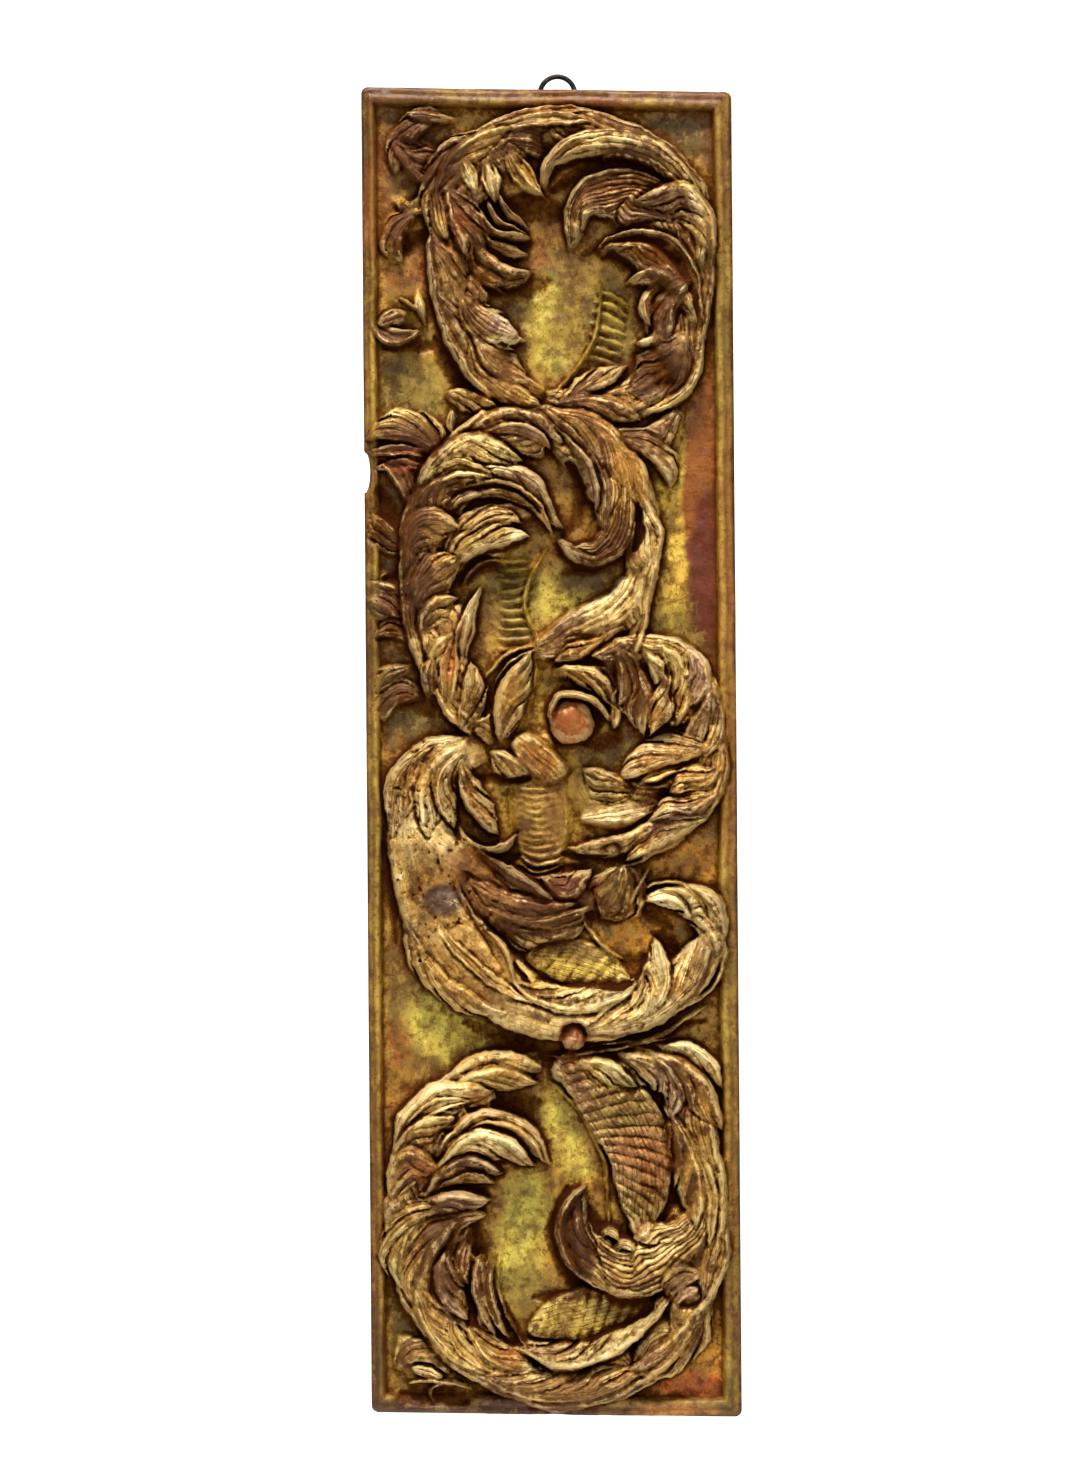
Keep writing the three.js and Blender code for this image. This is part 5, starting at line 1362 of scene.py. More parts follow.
        # Pale convex edges: real rubbing, and painted highlights where the crests catch the light.
        worn_and_lit = (-1.2 * near - 0.5 * close - 0.08) * (1 - 0.65 * painted_shade) * (1 + 0.4 * bright)
        shade = 0.5 + 0.5 * self.smooth.blur(self.shade, 0.8) - 0.38 * painted_shade + 0.26 * bright
        shade = shade + 0.09 * self.smooth.noise(31, 17)
        bole = np.zeros(self.x.shape)
        for patch in BOLE:
            bole = np.maximum(bole, self.cover(patch))
        return {
            "hollow": np.clip(hollow, 0, 1),
            # Painted shade of pits and hoods, with the real dark of flaked spots.
            "shadow_and_flakes": np.maximum(self.shadow_and_flakes, 2.6 * self.flaked() * leafy),
            "worn_and_lit": np.clip(worn_and_lit, 0, 1),
            "leafy": leafy,
            "open": (1 - leafy) * (0.6 + 0.4 * self.inner) * (1 - self.cover(LENS)),
            "across": self.across,
            "shade": np.clip(shade, 0, 1),
            "bole": bole,
            "combed": np.clip(self.combed * self.crisp, 0, 1),
        }

    def leafy(self) -> Array:
        """Share of carved scrollwork against plain ground and border, 0 to 1."""
        standing = self.smooth.blur(self.height, 1.2)
        inside = np.clip((self.border - BORDER_WIDTH + 0.5) / 1.5, 0, 1)
        return np.maximum(np.clip((standing - 3.0) / 4.0, 0, 1) * inside, np.clip((standing - 12.5) / 1.5, 0, 1))

    def cover(self, patch: Patch) -> Array:
        """How far a patch of colour covers each point.

        Args:
            patch: The patch.

        Returns:
            Shares from 0 to 1, with a ragged edge.
        """
        turn = math.radians(patch.lean)
        dx = self.wx - patch.middle[0]
        dz = self.wz - patch.middle[1]
        a = (dx * math.cos(turn) + dz * math.sin(turn)) / patch.reach[0]
        b = (-dx * math.sin(turn) + dz * math.cos(turn)) / patch.reach[1]
        ragged = np.hypot(a, b) + patch.ragged * self.ragged
        soft = patch.ragged + min(0.24, 2 * patch.ragged)
        return patch.weight * np.clip((1.0 + soft / 2 - ragged) / soft, 0, 1)

    def painted(self, low: Colour, high: Colour, patches: tuple[Patch, ...], seed: int) -> list[Array]:
        """A cloudy base colour with patches over it.

        Args:
            low: The darker base colour.
            high: The lighter base colour.
            patches: The patches, in order.
            seed: Start of the clouds.

        Returns:
            Red, green and blue grids.
        """
        cloud = np.clip(0.5 + 0.5 * self.smooth.noise(seed, 30), 0, 1)
        channels = [a + (b - a) * cloud for a, b in zip(low, high)]
        for patch in patches:
            share = self.cover(patch)
            channels = [old + (new - old) * share for old, new in zip(channels, patch.colour)]
        return channels

    def tint(self) -> list[Array]:
        """Colour of the whole face before patina, rubbing, painted shade and painted highlights.

        Returns:
            Red, green and blue grids.
        """
        ground = self.painted(OCHRE, STRAW, GROUND_PATCHES, 21)
        leaf = self.painted(GILT, STRAW_GOLD, (), 22)
        leafy = self.leafy()
        cast = self.smooth.blur(self.cast, 1.0)
        # Each leaf's random cast; its violet is a painted reflection.
        for colour, share in (
            (REFLECTED_VIOLET, 0.55 * np.clip(1.8 * cast - 0.9, 0, 1)),
            (ROSE, 0.30 * np.clip(-2.0 * cast - 1.1, 0, 1)),
            (OLIVE, 0.50 * np.clip(1 - 4 * np.abs(cast - 0.1), 0, 1)),
        ):
            leaf = [old + (new - old) * share for old, new in zip(leaf, colour)]
        for patch in LEAF_PATCHES:
            share = self.cover(patch)
            leaf = [old + (new - old) * share for old, new in zip(leaf, patch.colour)]
        places = [place for place, colour in BORDER_TONES]
        inset = self.border + 0.5 * self.smooth.noise(5, 40) + 0.5 * self.smooth.noise(23, 6)
        edge = np.clip((BORDER_WIDTH + 1.2 - self.border) / 1.5, 0, 1)
        stains = [(self.cover(patch), patch.colour) for patch in BORDER_PATCHES]
        channels = []
        for k in range(3):
            border = np.interp(inset, places, [colour[k] for place, colour in BORDER_TONES])
            for share, colour in stains:
                border = border + (colour[k] - border) * share
            plain = ground[k] + (border - ground[k]) * edge
            channels.append(plain + (leaf[k] - plain) * leafy)
        return channels


class Nodes:
    """Short ways to add and join the nodes of one material."""

    def __init__(self, name: str) -> None:
        """Starts an empty material.

        Args:
            name: Name of the material.
        """
        self.material = bpy.data.materials.new(name)
        self.material.use_nodes = True
        self.tree = self.material.node_tree
        self.tree.nodes.clear()
        self.output = self.tree.nodes.new("ShaderNodeOutputMaterial")
        self.shader = self.tree.nodes.new("ShaderNodeBsdfPrincipled")
        self.tree.links.new(self.shader.outputs["BSDF"], self.output.inputs["Surface"])
        self.place = self.tree.nodes.new("ShaderNodeTexCoord").outputs["Object"]

    def put(self, socket: bpy.types.NodeSocket, value: object) -> None:
        """Sets a socket to a plain value, or joins another node's output to it."""
        if isinstance(value, bpy.types.NodeSocket):
            self.tree.links.new(value, socket)
        elif isinstance(value, tuple) and len(value) == 3 and socket.type == "RGBA":
            socket.default_value = (*value, 1.0)
        else:
            socket.default_value = value

    def attribute(self, name: str) -> bpy.types.NodeSocket:
        """A number stored at the points of the mesh."""
        node = self.tree.nodes.new("ShaderNodeAttribute")
        node.attribute_name = name
        return node.outputs["Fac"]

    def painted(self, name: str) -> bpy.types.NodeSocket:
        """A colour stored at the points of the mesh."""
        node = self.tree.nodes.new("ShaderNodeAttribute")
        node.attribute_name = name
        return node.outputs["Color"]

    def noise(self, size: float, detail: float = 4.0, rough: float = 0.6, stretch: Colour = (1, 1, 1)) -> bpy.types.NodeSocket:
        """Cloudy noise.

        Args:
            size: Size of its features, in metres.
            detail: Octaves.
            rough: Weight of the finer octaves.
            stretch: Stretch along each axis.

        Returns:
            A value around 0.5.
        """
        mapping = self.tree.nodes.new("ShaderNodeMapping")
        self.put(mapping.inputs["Vector"], self.place)
        mapping.inputs["Scale"].default_value = tuple(1 / s for s in stretch)
        node = self.tree.nodes.new("ShaderNodeTexNoise")
        self.put(node.inputs["Vector"], mapping.outputs["Vector"])
        node.inputs["Scale"].default_value = 1 / size
        node.inputs["Detail"].default_value = detail
        node.inputs["Roughness"].default_value = rough
        return node.outputs["Fac"]

    def streaks(self, across: bpy.types.NodeSocket, width: float, length: float) -> bpy.types.NodeSocket:
        """Streaks that run along the carved strands.

        Args:
            across: Place across a strand, in millimetres.
            width: Width of a streak, in millimetres.
            length: Length of a streak, in metres.

        Returns:
            A value around 0.5.
        """
        start = self.tree.nodes.new("ShaderNodeCombineXYZ")
        self.put(start.inputs["Y"], self.math("DIVIDE", across, width))
        move = self.tree.nodes.new("ShaderNodeVectorMath")
        move.operation = "MULTIPLY_ADD"
        self.put(move.inputs[0], self.place)
        move.inputs[1].default_value = (1 / length, 0.0, 1 / length)
        self.put(move.inputs[2], start.outputs["Vector"])
        node = self.tree.nodes.new("ShaderNodeTexNoise")
        self.put(node.inputs["Vector"], move.outputs["Vector"])
        node.inputs["Scale"].default_value = 1.0
        node.inputs["Detail"].default_value = 3.0
        node.inputs["Roughness"].default_value = 0.65
        return node.outputs["Fac"]

    def math(self, kind: str, a: object, b: object = 0.0, clamp: bool = False) -> bpy.types.NodeSocket:
        """Arithmetic on two values."""
        node = self.tree.nodes.new("ShaderNodeMath")
        node.operation = kind
        node.use_clamp = clamp
        self.put(node.inputs[0], a)
        self.put(node.inputs[1], b)
        return node.outputs[0]

    def between(self, value: object, low: float, high: float, to_low: float = 0.0, to_high: float = 1.0) -> bpy.types.NodeSocket:
        """Maps a range of a value softly onto another range."""
        node = self.tree.nodes.new("ShaderNodeMapRange")
        node.interpolation_type = "SMOOTHSTEP"
        self.put(node.inputs["Value"], value)
        node.inputs["From Min"].default_value = low
        node.inputs["From Max"].default_value = high
        node.inputs["To Min"].default_value = to_low
        node.inputs["To Max"].default_value = to_high
        return node.outputs["Result"]

    def mix(self, share: object, a: object, b: object, how: str = "MIX") -> bpy.types.NodeSocket:
        """Blends two colours."""
        node = self.tree.nodes.new("ShaderNodeMix")
        node.data_type = "RGBA"
        node.blend_type = how
        self.put(node.inputs["Factor"], share)
        self.put(node.inputs[6], a)
        self.put(node.inputs[7], b)
        return node.outputs[2]

    def bump(self, height: bpy.types.NodeSocket, distance: float, strength: float = 1.0, below: object = None) -> bpy.types.NodeSocket:
        """Fine unevenness of the surface.

        Args:
            height: Height as a share.
            distance: Height of a whole share, in metres.
            strength: Weight.
            below: Normal from an earlier bump, if any.

        Returns:
            The bent normal.
        """
        node = self.tree.nodes.new("ShaderNodeBump")
        node.inputs["Strength"].default_value = strength
        node.inputs["Distance"].default_value = distance
        self.put(node.inputs["Height"], height)
        if below is not None:
            self.put(node.inputs["Normal"], below)
        return node.outputs["Normal"]

    def dress(self, colour: object, rough: object, metal: object = 0.0, normal: object = None) -> bpy.types.Material:
        """Joins the finished channels to the shader.

        Args:
            colour: Base colour.
            rough: Roughness.
            metal: Metallic share.
            normal: Bent normal, if any.

        Returns:
            The material.
        """
        self.put(self.shader.inputs["Base Color"], colour)
        self.put(self.shader.inputs["Roughness"], rough)
        self.put(self.shader.inputs["Metallic"], metal)
        if normal is not None:
            self.put(self.shader.inputs["Normal"], normal)
        return self.material


@dataclass(frozen=True)
class WornGilding:
    """Old gilding over bole on the carved face, bare wood on the sides and back; the umber in its hollows and its pale
    crests are partly painted shade and painted highlights.
    """

    umber: Colour = (0.040, 0.0086, 0.0008)
    brown: Colour = (0.096, 0.031, 0.0040)
    glaze: Colour = (0.50, 0.36, 0.16)
    moss: Colour = (0.100, 0.082, 0.022)
    lemon: Colour = (0.56, 0.45, 0.115)
    rusty: Colour = (0.150, 0.058, 0.016)
    pale: Colour = (0.72, 0.62, 0.46)
    # Gain for rubbed edges and painted highlights.
    rub_and_highlight: Colour = (1.58, 1.85, 2.60)
    bole: Colour = (0.30, 0.085, 0.028)
    varnish: Colour = (1.0, 0.84, 0.47)
    gleam: Colour = (0.95, 0.90, 0.80)
    bare: Colour = (0.135, 0.062, 0.024)
    back: Colour = (0.21, 0.125, 0.062)

    def make(self) -> bpy.types.Material:
        """Builds the material from the marks stored on the mesh."""
        n = Nodes("gilded_wood")
        coarse = n.noise(0.034, 6.0, 0.66)
        patch = n.noise(0.012, 6.0, 0.70)
        blot = n.noise(0.0060, 6.0, 0.74)
        fleck = n.noise(0.0026, 4.0, 0.78)
        other = n.noise(0.0170, 6.0, 0.72, (1.0, 1.0, 1.3))
        across = n.attribute("across")
        streak = n.streaks(across, 2.2, 0.022)
        fine = n.streaks(across, 1.0, 0.012)
        leafy = n.attribute("leafy")

        colour = n.painted("tint")
        shade = n.math("ADD", n.attribute("shade"), n.between(patch, 0.40, 0.60, 0.14, -0.14))
        tarnish = n.math("MULTIPLY", n.between(streak, 0.44, 0.60, 0.0, 0.50), leafy)
        tarnish = n.math("MAXIMUM", tarnish, n.between(patch, 0.48, 0.60, 0.0, 0.40))
        colour = n.mix(tarnish, colour, n.mix(1.0, colour, self.glaze, "MULTIPLY"))
        # Painted shade and painted highlights on each leaf, from its shade mark.
        colour = n.mix(n.math("MULTIPLY", n.between(shade, 0.52, 0.12, 0.0, 0.92), leafy), colour, self.brown)
        bright = n.mix(1.0, colour, self.rub_and_highlight, "MULTIPLY")
        colour = n.mix(n.math("MULTIPLY", n.between(shade, 0.52, 0.90, 0.0, 0.60), leafy), colour, bright)
        # Umber drawn along the strand grooves: patina, and painted shade in those creases.
        shift = n.math("MULTIPLY", n.math("SUBTRACT", coarse, 0.5), 1.2)
        place = n.math("ADD", n.math("DIVIDE", across, LINE), shift)
        line = n.between(n.math("PINGPONG", place, 0.5), 0.02, 0.17, 1.0, 0.0)
        line = n.math("MULTIPLY", line, n.between(blot, 0.44, 0.52, 0.45, 1.0))
        line = n.math("MULTIPLY", line, n.math("MULTIPLY", n.attribute("combed"), leafy))
        colour = n.mix(n.math("MULTIPLY", line, 0.85), colour, self.umber)
        open_ground = n.attribute("open")
        cloudy = n.math("MULTIPLY", n.between(patch, 0.42, 0.60, 0.0, 0.55), open_ground)
        colour = n.mix(cloudy, colour, n.mix(1.0, colour, self.glaze, "MULTIPLY"))
        specks = n.math("MULTIPLY", n.between(fleck, 0.44, 0.34, 0.0, 0.55), open_ground)
        colour = n.mix(specks, colour, n.mix(1.0, colour, self.rub_and_highlight, "MULTIPLY"))
        mossy = n.math("MAXIMUM", n.math("MULTIPLY", open_ground, 0.50), n.math("MULTIPLY", leafy, 0.15))
        mossy = n.math("MULTIPLY", mossy, n.between(other, 0.48, 0.60))
        colour = n.mix(mossy, colour, self.moss)
        lit = n.math("MULTIPLY", n.between(other, 0.49, 0.43, 0.0, 0.30), open_ground)
        colour = n.mix(lit, colour, self.lemon)
        colour = n.mix(n.between(coarse, 0.54, 0.62, 0.0, 0.40), colour, self.rusty)
        colour = n.mix(n.between(blot, 0.55, 0.62, 0.0, 0.35), colour, self.brown)
        colour = n.mix(n.between(fleck, 0.57, 0.65, 0.0, 0.65), colour, self.umber)
        rubbed = n.math("MULTIPLY", n.attribute("bole"), n.between(fleck, 0.40, 0.55, 0.55, 1.0), True)
        colour = n.mix(rubbed, colour, self.bole)
        # Pale edges: real rubbing, and painted highlights along the crests.
        wear_and_highlight = n.math("MULTIPLY", n.attribute("worn_and_lit"), n.between(blot, 0.44, 0.56, 1.5, 0.8), True)
        wear_and_highlight = n.math("MULTIPLY", wear_and_highlight, n.between(fine, 0.40, 0.56, 0.7, 1.15), True)
        wear_and_highlight = n.math("MULTIPLY", wear_and_highlight, n.between(leafy, 0.0, 1.0, 0.35, 1.0))
        colour = n.mix(wear_and_highlight, colour, n.mix(1.0, colour, self.rub_and_highlight, "MULTIPLY"))
        colour = n.mix(n.between(wear_and_highlight, 0.45, 1.0, 0.0, 0.55), colour, self.pale)
        # Umber in recesses, pits and hoods: partly patina and flaked spots, partly painted shade.
        dirt_and_shade = n.math("ADD", n.attribute("hollow"), n.math("MULTIPLY", n.attribute("shadow_and_flakes"), 0.30))
        dirt_and_shade = n.math("ADD", dirt_and_shade, n.between(blot, 0.42, 0.60, -0.08, 0.10))
        colour = n.mix(n.between(dirt_and_shade, 0.04, 0.34, 0.0, 0.85), colour, self.brown)
        colour = n.mix(n.between(dirt_and_shade, 0.26, 0.62, 0.0, 1.0), colour, self.umber)
        colour = n.mix(1.0, colour, self.varnish, "MULTIPLY")

        depth = n.tree.nodes.new("ShaderNodeSeparateXYZ")
        n.put(depth.inputs[0], n.place)
        grain = n.noise(0.0016, 5.0, 0.6, (1.0, 1.0, 30.0))
        wood = n.mix(n.between(grain, 0.3, 0.7), self.bare, self.back)
        behind = n.math("MULTIPLY", n.attribute("rim"), n.between(depth.outputs["Y"], -0.0238, -0.0215))
        colour = n.mix(behind, colour, wood)

        rough = n.between(dirt_and_shade, 0.0, 0.5, 0.40, 0.80)
        shine = n.math("MULTIPLY", n.between(dirt_and_shade, 0.0, 0.35, 0.28, 0.0), leafy)
        shine = n.math("MULTIPLY", shine, n.between(behind, 0.0, 1.0, 1.0, 0.0))
        lines = n.math("MULTIPLY", fine, leafy)
        normal = n.bump(patch, 0.0008, 0.6)
        normal = n.bump(n.math("SUBTRACT", 1.0, line), 0.0006, 1.0, normal)
        normal = n.bump(lines, 0.0009, 0.8, normal)
        normal = n.bump(fleck, 0.0006, 0.8, normal)
        n.put(n.shader.inputs["Specular IOR Level"], n.between(dirt_and_shade, 0.0, 0.35, 0.42, 0.06))
        n.put(n.shader.inputs["Specular Tint"], self.gleam)
        return n.dress(colour, rough, shine, normal)


@dataclass(frozen=True)
class BlackIron:
    """Blackened forged iron with a little brown rust."""

    dark: Colour = (0.018, 0.015, 0.013)
    rust: Colour = (0.085, 0.038, 0.018)

    def make(self) -> bpy.types.Material:
        """Builds the material."""
        n = Nodes("dark_iron")
        patch = n.noise(0.006, 5.0, 0.65)
        colour = n.mix(n.between(patch, 0.50, 0.72), self.dark, self.rust)
        rough = n.between(patch, 0.3, 0.7, 0.42, 0.72)
        return n.dress(colour, rough, n.between(patch, 0.45, 0.7, 0.8, 0.1), n.bump(patch, 0.0004))


@dataclass(frozen=True)
class PalePaint:
    """Matt pale floor."""

    tone: Colour = (0.86, 0.86, 0.85)

    def make(self) -> bpy.types.Material:
        """Builds the material."""
        n = Nodes("pale_floor")
        cloud = n.noise(0.4, 2.0)
        shade = tuple(0.97 * c for c in self.tone)
        return n.dress(n.mix(cloud, self.tone, shade), 0.85)


@dataclass(frozen=True)
class LitSheet:
    """White sheet lit from behind."""

    strength: float = 1.05

    def make(self) -> bpy.types.Material:
        """Builds the material."""
        n = Nodes("lit_sheet")
        cloud = n.noise(2.0, 1.0)
        colour = n.mix(cloud, (1.0, 1.0, 1.0), (0.985, 0.985, 0.985))
        n.put(n.shader.inputs["Emission Color"], colour)
        n.shader.inputs["Emission Strength"].default_value = self.strength
        return n.dress(colour, 0.9)


def only(obj: bpy.types.Object) -> None:
    """Makes an object the only selected and active one."""
    bpy.ops.object.select_all(action="DESELECT")
    obj.select_set(True)
    bpy.context.view_layer.objects.active = obj


def apply(obj: bpy.types.Object, name: str) -> None:
    """Applies a modifier for good."""
    only(obj)
    bpy.ops.object.modifier_apply(modifier=name)


def settle(obj: bpy.types.Object, name: str) -> None:
    """Names an object and moves its place and turn into the mesh."""
    only(obj)
    bpy.ops.object.transform_apply(location=True, rotation=True, scale=True)
    obj.name = name
    obj.data.name = name


@dataclass
class CarvedPanel:
    """The plank with its border and scrollwork.

    Attributes:
        faces: Triangles left after thinning the smooth parts.
        chamfer: Bevel round the back, mm.
        notch_height: Height of the missing sliver's middle, mm.
        notch_length: Its length, mm.
        notch_depth: Its depth, mm.
    """

    faces: int = 186000
    chamfer: float = 2.0
    notch_height: float = 198.0
    notch_length: float = 30.0
    notch_depth: float = 4.2

    def outline(self, x: Array, z: Array) -> tuple[Array, Array]:
        """Rounds the corners and draws in the missing sliver.

        Args:
            x: Across, mm.
            z: Up, mm, before the short sides are leant.

        Returns:
            The moved x and z.
        """
        a = np.abs(x) - (PANEL_WIDTH / 2 - CORNER_RADIUS)
        b = np.abs(z) - (PANEL_HEIGHT / 2 - CORNER_RADIUS)
        inside = (a > 0) & (b > 0)
        pull = np.where(inside, np.maximum(a, b) / np.maximum(np.hypot(a, b), 1e-9), 1.0)
        x = np.where(inside, np.sign(x) * (PANEL_WIDTH / 2 - CORNER_RADIUS + a * pull), x)
        z = np.where(inside, np.sign(z) * (PANEL_HEIGHT / 2 - CORNER_RADIUS + b * pull), z)
        away = (z - self.notch_height) / (self.notch_length / 2)
        bite = self.notch_depth * np.sqrt(np.clip(1 - away * away, 0, 1))
        x = x + bite * np.clip(1 - (x + PANEL_WIDTH / 2) / 12, 0, 1)
        return x, z

    def build(self, carving: Carving) -> bpy.types.Object:
        """Makes the closed mesh.

        Args:
            carving: The carved heights.

        Returns:
            The panel, without its finish.
        """
        rows, columns = carving.x.shape
        bpy.ops.mesh.primitive_grid_add(x_subdivisions=columns - 1, y_subdivisions=rows - 1, size=2)
        panel = bpy.context.object
        mesh = panel.data
        flat = np.empty(len(mesh.vertices) * 3)
        mesh.vertices.foreach_get("co", flat)
        flat = flat.reshape(-1, 3)
        j = np.rint((flat[:, 0] + 1) / 2 * (columns - 1)).astype(int)
        i = np.rint((flat[:, 1] + 1) / 2 * (rows - 1)).astype(int)
        x, z = self.outline(carving.x_line[j], carving.z_line[i])
        z = z - OUT_OF_SQUARE * x / PANEL_WIDTH
        front = np.column_stack([x, -GROUND - carving.height[i, j], z]) * MM
        mesh.vertices.foreach_set("co", front.ravel())
        mesh.update()

        only(panel)
        bpy.ops.object.mode_set(mode="EDIT")
        bpy.ops.mesh.select_mode(type="VERT")
        bpy.ops.mesh.select_all(action="DESELECT")
        bpy.ops.mesh.select_non_manifold()
        for depth, share in ((-self.chamfer * MM, 1.0), (0.0, 1 - 2 * self.chamfer / PANEL_WIDTH)):
            bpy.ops.mesh.extrude_edges_move()
            bpy.ops.object.mode_set(mode="OBJECT")
            self.set_back(panel, depth, share)
            bpy.ops.object.mode_set(mode="EDIT")
        bpy.ops.mesh.edge_face_add()
        bpy.ops.mesh.select_all(action="SELECT")
        bpy.ops.mesh.quads_convert_to_tris()
        bpy.ops.mesh.normals_make_consistent(inside=False)
        bpy.ops.object.mode_set(mode="OBJECT")
        before = len(mesh.polygons)
        thin = panel.modifiers.new("thin", "DECIMATE")
        thin.ratio = self.faces / before
        apply(panel, "thin")
        self.trim(panel)
        LOG.info("carved panel: %d faces thinned to %d", before, len(panel.data.polygons))
        return panel

    def trim(self, panel: bpy.types.Object) -> None:
        """Draws points that thinning pushed past the plank's outline back to it."""
        mesh = panel.data
        co = np.empty(len(mesh.vertices) * 3)
        mesh.vertices.foreach_get("co", co)
        co = co.reshape(-1, 3) / MM
        co[:, 0] = np.clip(co[:, 0], -PANEL_WIDTH / 2, PANEL_WIDTH / 2)
        co[:, 1] = np.minimum(co[:, 1], 0.0)
        half = PANEL_HEIGHT / 2 - 0.05
        lean = OUT_OF_SQUARE * co[:, 0] / PANEL_WIDTH
        co[:, 2] = np.clip(co[:, 2] + lean, -half, half) - lean
        mesh.vertices.foreach_set("co", (co * MM).ravel())
        mesh.update()

    def set_back(self, panel: bpy.types.Object, depth: float, share: float) -> None:
        """Puts the selected loop at one depth and draws it in.

        Args:
            panel: The panel being built.
            depth: Y of the loop, m.
            share: Share of the half width it keeps; the ends are drawn in by the same length.
        """
        mesh = panel.data
        count = len(mesh.vertices)
        co = np.empty(count * 3)
        mesh.vertices.foreach_get("co", co)
        co = co.reshape(-1, 3)
        chosen = np.empty(count, bool)
        mesh.vertices.foreach_get("select", chosen)
        draw = PANEL_WIDTH / 2 * MM * (1 - share)
        co[chosen, 1] = depth
        co[chosen, 0] *= share
        co[chosen, 2] *= 1 - draw / (PANEL_HEIGHT / 2 * MM)
        mesh.vertices.foreach_set("co", co.ravel())
        mesh.update()

    def cut_back(self, panel: bpy.types.Object, hanger: "Hanger") -> None:
        """Sinks the ring's recess into the back.

        Args:
            panel: The panel.
            hanger: Sizes of ring, tang and nails.
        """
        for box in hanger.recesses():
            low, high = np.array(box)
            bpy.ops.mesh.primitive_cube_add(size=1, location=tuple((low + high) / 2 * MM))
            cutter = bpy.context.object
            cutter.scale = tuple((high - low) * MM)
            self.subtract(panel, cutter)

    def subtract(self, panel: bpy.types.Object, cutter: bpy.types.Object) -> None:
        """Cuts one shape out of the panel and throws the cutter away."""
        cut = panel.modifiers.new("cut", "BOOLEAN")
        cut.operation = "DIFFERENCE"
        cut.solver = "MANIFOLD"
        cut.object = cutter
        apply(panel, "cut")
        bpy.data.objects.remove(cutter, do_unlink=True)

    def mark(self, panel: bpy.types.Object, carving: Carving) -> None:
        """Stores hollows, rubbed and lit edges, painted shade and ground colours at the points of the mesh.

        Args:
            panel: The panel.
            carving: The carved heights.
        """
        mesh = panel.data
        count = len(mesh.vertices)
        co = np.empty(count * 3)
        mesh.vertices.foreach_get("co", co)
        co = co.reshape(-1, 3) / MM
        column = (co[:, 0] - carving.x_line[0]) / carving.step
        row = (co[:, 2] + OUT_OF_SQUARE * co[:, 0] / PANEL_WIDTH - carving.z_line[0]) / carving.step
        for name, field_ in carving.marks().items():
            store = mesh.attributes.new(name, "FLOAT", "POINT")
            store.data.foreach_set("value", sample(field_, row, column).astype(np.float32))
        inset = sample(carving.inset, row, column)
        rim = np.where((co[:, 1] > -GROUND / 2) | (inset < 0.3), 1.0, 0.0)
        store = mesh.attributes.new("rim", "FLOAT", "POINT")
        store.data.foreach_set("value", rim.astype(np.float32))
        store = mesh.attributes.new("tint", "FLOAT_COLOR", "POINT")
        tint = np.ones((count, 4), np.float32)
        for k, field_ in enumerate(carving.tint()):
            tint[:, k] = sample(field_, row, column)
        store.data.foreach_set("color", tint.ravel())

    def dress(self, panel: bpy.types.Object, finish: WornGilding) -> None:
        """Gives the panel its finish and puts it in the frame."""
        only(panel)
        bpy.ops.object.shade_smooth_by_angle(angle=math.radians(50))
        panel.name = "carved_relief"
        panel.data.name = "carved_relief"
        panel.data.materials.clear()
        panel.data.materials.append(finish.make())
        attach(panel, "root")
        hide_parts("carved_panel")


def sample(field_: Array, row: Array, column: Array) -> Array:
    """Reads a grid between its points.

    Args:
        field_: The grid.
        row: Rows, with fractions.
        column: Columns, with fractions.

    Returns:
        The values.
    """
    r = np.clip(row, 0, field_.shape[0] - 1.001)
    c = np.clip(column, 0, field_.shape[1] - 1.001)
    i = r.astype(int)
    j = c.astype(int)
    fr = r - i
    fc = c - j
    low = field_[i, j] * (1 - fc) + field_[i, j + 1] * fc
    high = field_[i + 1, j] * (1 - fc) + field_[i + 1, j + 1] * fc
    return low * (1 - fr) + high * fr


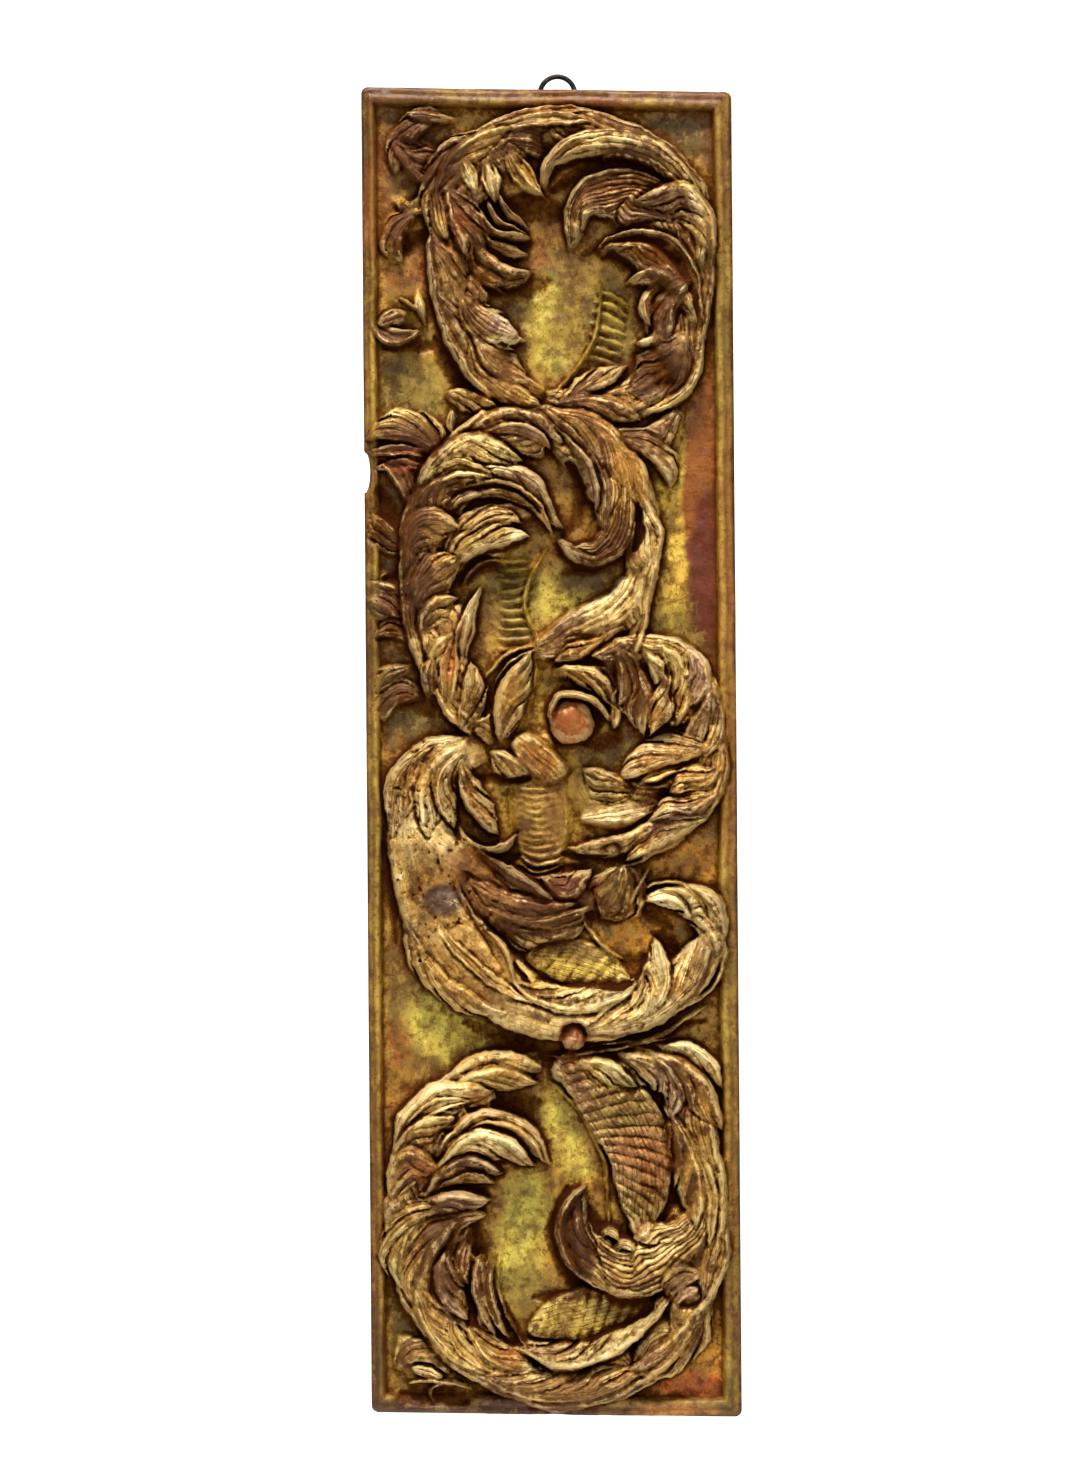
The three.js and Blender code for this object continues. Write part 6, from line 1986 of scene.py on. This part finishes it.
@dataclass
class Hanger:
    """Iron ring with a flat tang let into the back, and its nails.

    Attributes:
        across: X of the ring's middle, mm.
        radius: Radius to the middle of the wire, mm.
        wire: Thickness of the wire, mm.
        tang_width: Width of the tang, mm.
        tang_length: Its length, mm.
        tang_thick: Its thickness, mm.
        back_set: How far the tang sits in from the back, mm.
        gap: Clearance around it, mm.
    """

    across: float = 8.0
    radius: float = 12.5
    wire: float = 3.6
    tang_width: float = 15.0
    tang_length: float = 46.0
    tang_thick: float = 2.0
    back_set: float = 1.6
    gap: float = 0.3

    def middle(self) -> float:
        """Z of the ring's middle, mm: level with the top edge."""
        return PANEL_HEIGHT / 2 - OUT_OF_SQUARE * self.across / PANEL_WIDTH

    def tang_top(self) -> float:
        """Z of the tang's upper end, mm."""
        return self.middle() - self.radius + self.wire / 4

    def nail_heights(self) -> tuple[float, float]:
        """Z of both nails, mm."""
        return self.tang_top() - 0.38 * self.tang_length, self.tang_top() - 0.80 * self.tang_length

    def recesses(self) -> list[tuple[tuple[float, float, float], tuple[float, float, float]]]:
        """Lowest and highest corners of the sinkings in the back, mm."""
        half = self.tang_width / 2 + self.gap
        wide = self.radius + self.wire / 2 + 1
        front = -(self.back_set + self.tang_thick + self.gap)
        foot = self.tang_top() - self.tang_length - self.gap
        top = PANEL_HEIGHT / 2 + 10
        slot_foot = self.middle() - self.radius - self.wire
        return [
            ((self.across - half, front, foot), (self.across + half, 1.0, top)),
            ((self.across - wide, -(self.wire + 2), slot_foot), (self.across + wide, 1.0, top)),
        ]

    def ring(self, finish: bpy.types.Material) -> bpy.types.Object:
        """Makes ring and tang as one forging.

        Args:
            finish: The iron.

        Returns:
            The ring.
        """
        spot = (self.across * MM, -(self.wire / 2 + 0.8) * MM, self.middle() * MM)
        bpy.ops.object.select_all(action="DESELECT")
        bpy.ops.mesh.primitive_torus_add(
            major_radius=self.radius * MM,
            minor_radius=self.wire / 2 * MM,
            major_segments=64,
            minor_segments=20,
            location=spot,
            rotation=(math.pi / 2, 0, 0),
        )
        ring = bpy.context.object
        settle(ring, "iron_ring")
        front = -(self.back_set + self.tang_thick)
        top = self.tang_top()
        centre = (self.across, (front - self.back_set) / 2, top - self.tang_length / 2)
        bpy.ops.mesh.primitive_cube_add(size=1, location=tuple(c * MM for c in centre))
        tang = bpy.context.object
        tang.scale = (self.tang_width * MM, self.tang_thick * MM, self.tang_length * MM)
        settle(tang, "tang")
        soft = tang.modifiers.new("soft", "BEVEL")
        soft.width = 0.5 * MM
        soft.segments = 2
        apply(tang, "soft")
        join = ring.modifiers.new("join", "BOOLEAN")
        join.operation = "UNION"
        join.solver = "MANIFOLD"
        join.object = tang
        apply(ring, "join")
        bpy.data.objects.remove(tang, do_unlink=True)
        for z in self.nail_heights():
            bpy.ops.mesh.primitive_cylinder_add(
                vertices=20,
                radius=1.5 * MM,
                depth=12 * MM,
                location=(self.across * MM, 0, z * MM),
                rotation=(math.pi / 2, 0, 0),
            )
            bore = bpy.context.object
            cut = ring.modifiers.new("cut", "BOOLEAN")
            cut.operation = "DIFFERENCE"
            cut.solver = "MANIFOLD"
            cut.object = bore
            apply(ring, "cut")
            bpy.data.objects.remove(bore, do_unlink=True)
        only(ring)
        bpy.ops.object.shade_smooth_by_angle(angle=math.radians(35))
        ring.data.materials.clear()
        ring.data.materials.append(finish)
        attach(ring, "root")
        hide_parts("hanging_ring")
        return ring


@dataclass
class Studio:
    """Pale floor, soft light and the camera of the photo.

    Attributes:
        pixel: Millimetres to one pixel of the photo at the panel's face.
        picture_width: Width of the photo, pixels.
        middle: The panel's middle in the photo, pixels right of and below the picture's middle.
        roll: Turn of the picture, degrees.
        distance: From the panel's face to the camera, m.
        floor_level: Height of the floor, m.
        sheet_distance: From the panel to the white sheet behind it, m.
    """

    pixel: float = 5 / 7
    picture_width: float = 1080.0
    middle: Point = (11.25, 18.25)
    roll: float = 0.455
    distance: float = 3.2
    floor_level: float = -0.80
    sheet_distance: float = 9.0

    def floor(self) -> bpy.types.Object:
        """Lays the floor out of sight of the front view."""
        bpy.ops.mesh.primitive_plane_add(size=3.0, location=(0, 0, self.floor_level))
        floor = bpy.context.object
        floor.name = "floor"
        floor.data.materials.append(PalePaint().make())
        return floor

    def backdrop(self) -> bpy.types.Object:
        """Hangs a white lit sheet far behind the panel."""
        bpy.ops.mesh.primitive_plane_add(size=7.0, location=(0, self.sheet_distance, 0), rotation=(math.pi / 2, 0, 0))
        sheet = bpy.context.object
        sheet.name = "backdrop"
        sheet.data.materials.append(LitSheet().make())
        return sheet

    def lamp(self, name: str, place: tuple[float, float, float], size: float, power: float, warm: float = 1.0) -> None:
        """Hangs one soft square lamp aimed at the panel.

        Args:
            name: Its name.
            place: Where it hangs, m.
            size: Side, m.
            power: Watts.
            warm: Share of blue light.
        """
        data = bpy.data.lights.new(name, "AREA")
        data.size = size
        data.energy = power
        data.color = (1.0, 0.5 + 0.5 * warm, warm)
        lamp = bpy.data.objects.new(name, data)
        bpy.context.scene.collection.objects.link(lamp)
        lamp.location = place
        aim = -lamp.location
        lamp.rotation_euler = aim.to_track_quat("-Z", "Y").to_euler()

    def light(self) -> None:
        """Sets the soft sky and the lamps."""
        world = bpy.data.worlds.new("studio")
        bpy.context.scene.world = world
        world.use_nodes = True
        back = world.node_tree.nodes["Background"]
        back.inputs["Color"].default_value = (1.0, 1.0, 1.0, 1.0)
        back.inputs["Strength"].default_value = 0.17
        self.lamp("key", (-0.40, -2.0, 4.2), 1.0, 370)
        self.lamp("front", (0.5, -3.0, 0.9), 1.2, 24)
        bpy.context.scene.view_settings.view_transform = "Standard"

    def camera(self) -> None:
        """Sets up the camera of the photo."""
        data = bpy.data.cameras.new("camera")
        camera = bpy.data.objects.new("camera", data)
        scene = bpy.context.scene
        scene.collection.objects.link(camera)
        turn = math.radians(self.roll)
        right, down = (m * self.pixel * MM for m in self.middle)
        x = -right * math.cos(turn) - down * math.sin(turn)
        z = down * math.cos(turn) - right * math.sin(turn)
        camera.location = (x, -self.distance - GROUND * MM, z)
        camera.rotation_euler = (math.pi / 2, math.radians(self.roll), 0)
        data.sensor_fit = "HORIZONTAL"
        data.sensor_width = 36.0
        data.lens = 36.0 * self.distance / (self.picture_width * self.pixel * MM)
        scene.camera = camera


def main() -> None:
    """Builds the pieces in order and stands them in the studio."""
    logging.basicConfig(level=logging.INFO, format="%(message)s")
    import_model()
    carving = Carving()
    carving.carve()
    maker = CarvedPanel()
    hanger = Hanger()
    panel = maker.build(carving)
    maker.cut_back(panel, hanger)
    maker.mark(panel, carving)
    maker.dress(panel, WornGilding())
    LOG.info("panel dressed: %d faces", len(panel.data.polygons))
    iron = BlackIron().make()
    ring = hanger.ring(iron)
    LOG.info("ring and tang: %d faces", len(ring.data.polygons))
    for node in ("tang_nail_1", "tang_nail_2"):
        nail = bpy.data.objects[node]
        nail.data.materials.clear()
        nail.data.materials.append(iron)
    studio = Studio()
    studio.floor()
    studio.backdrop()
    studio.light()
    studio.camera()


if __name__ == "__main__":
    main()
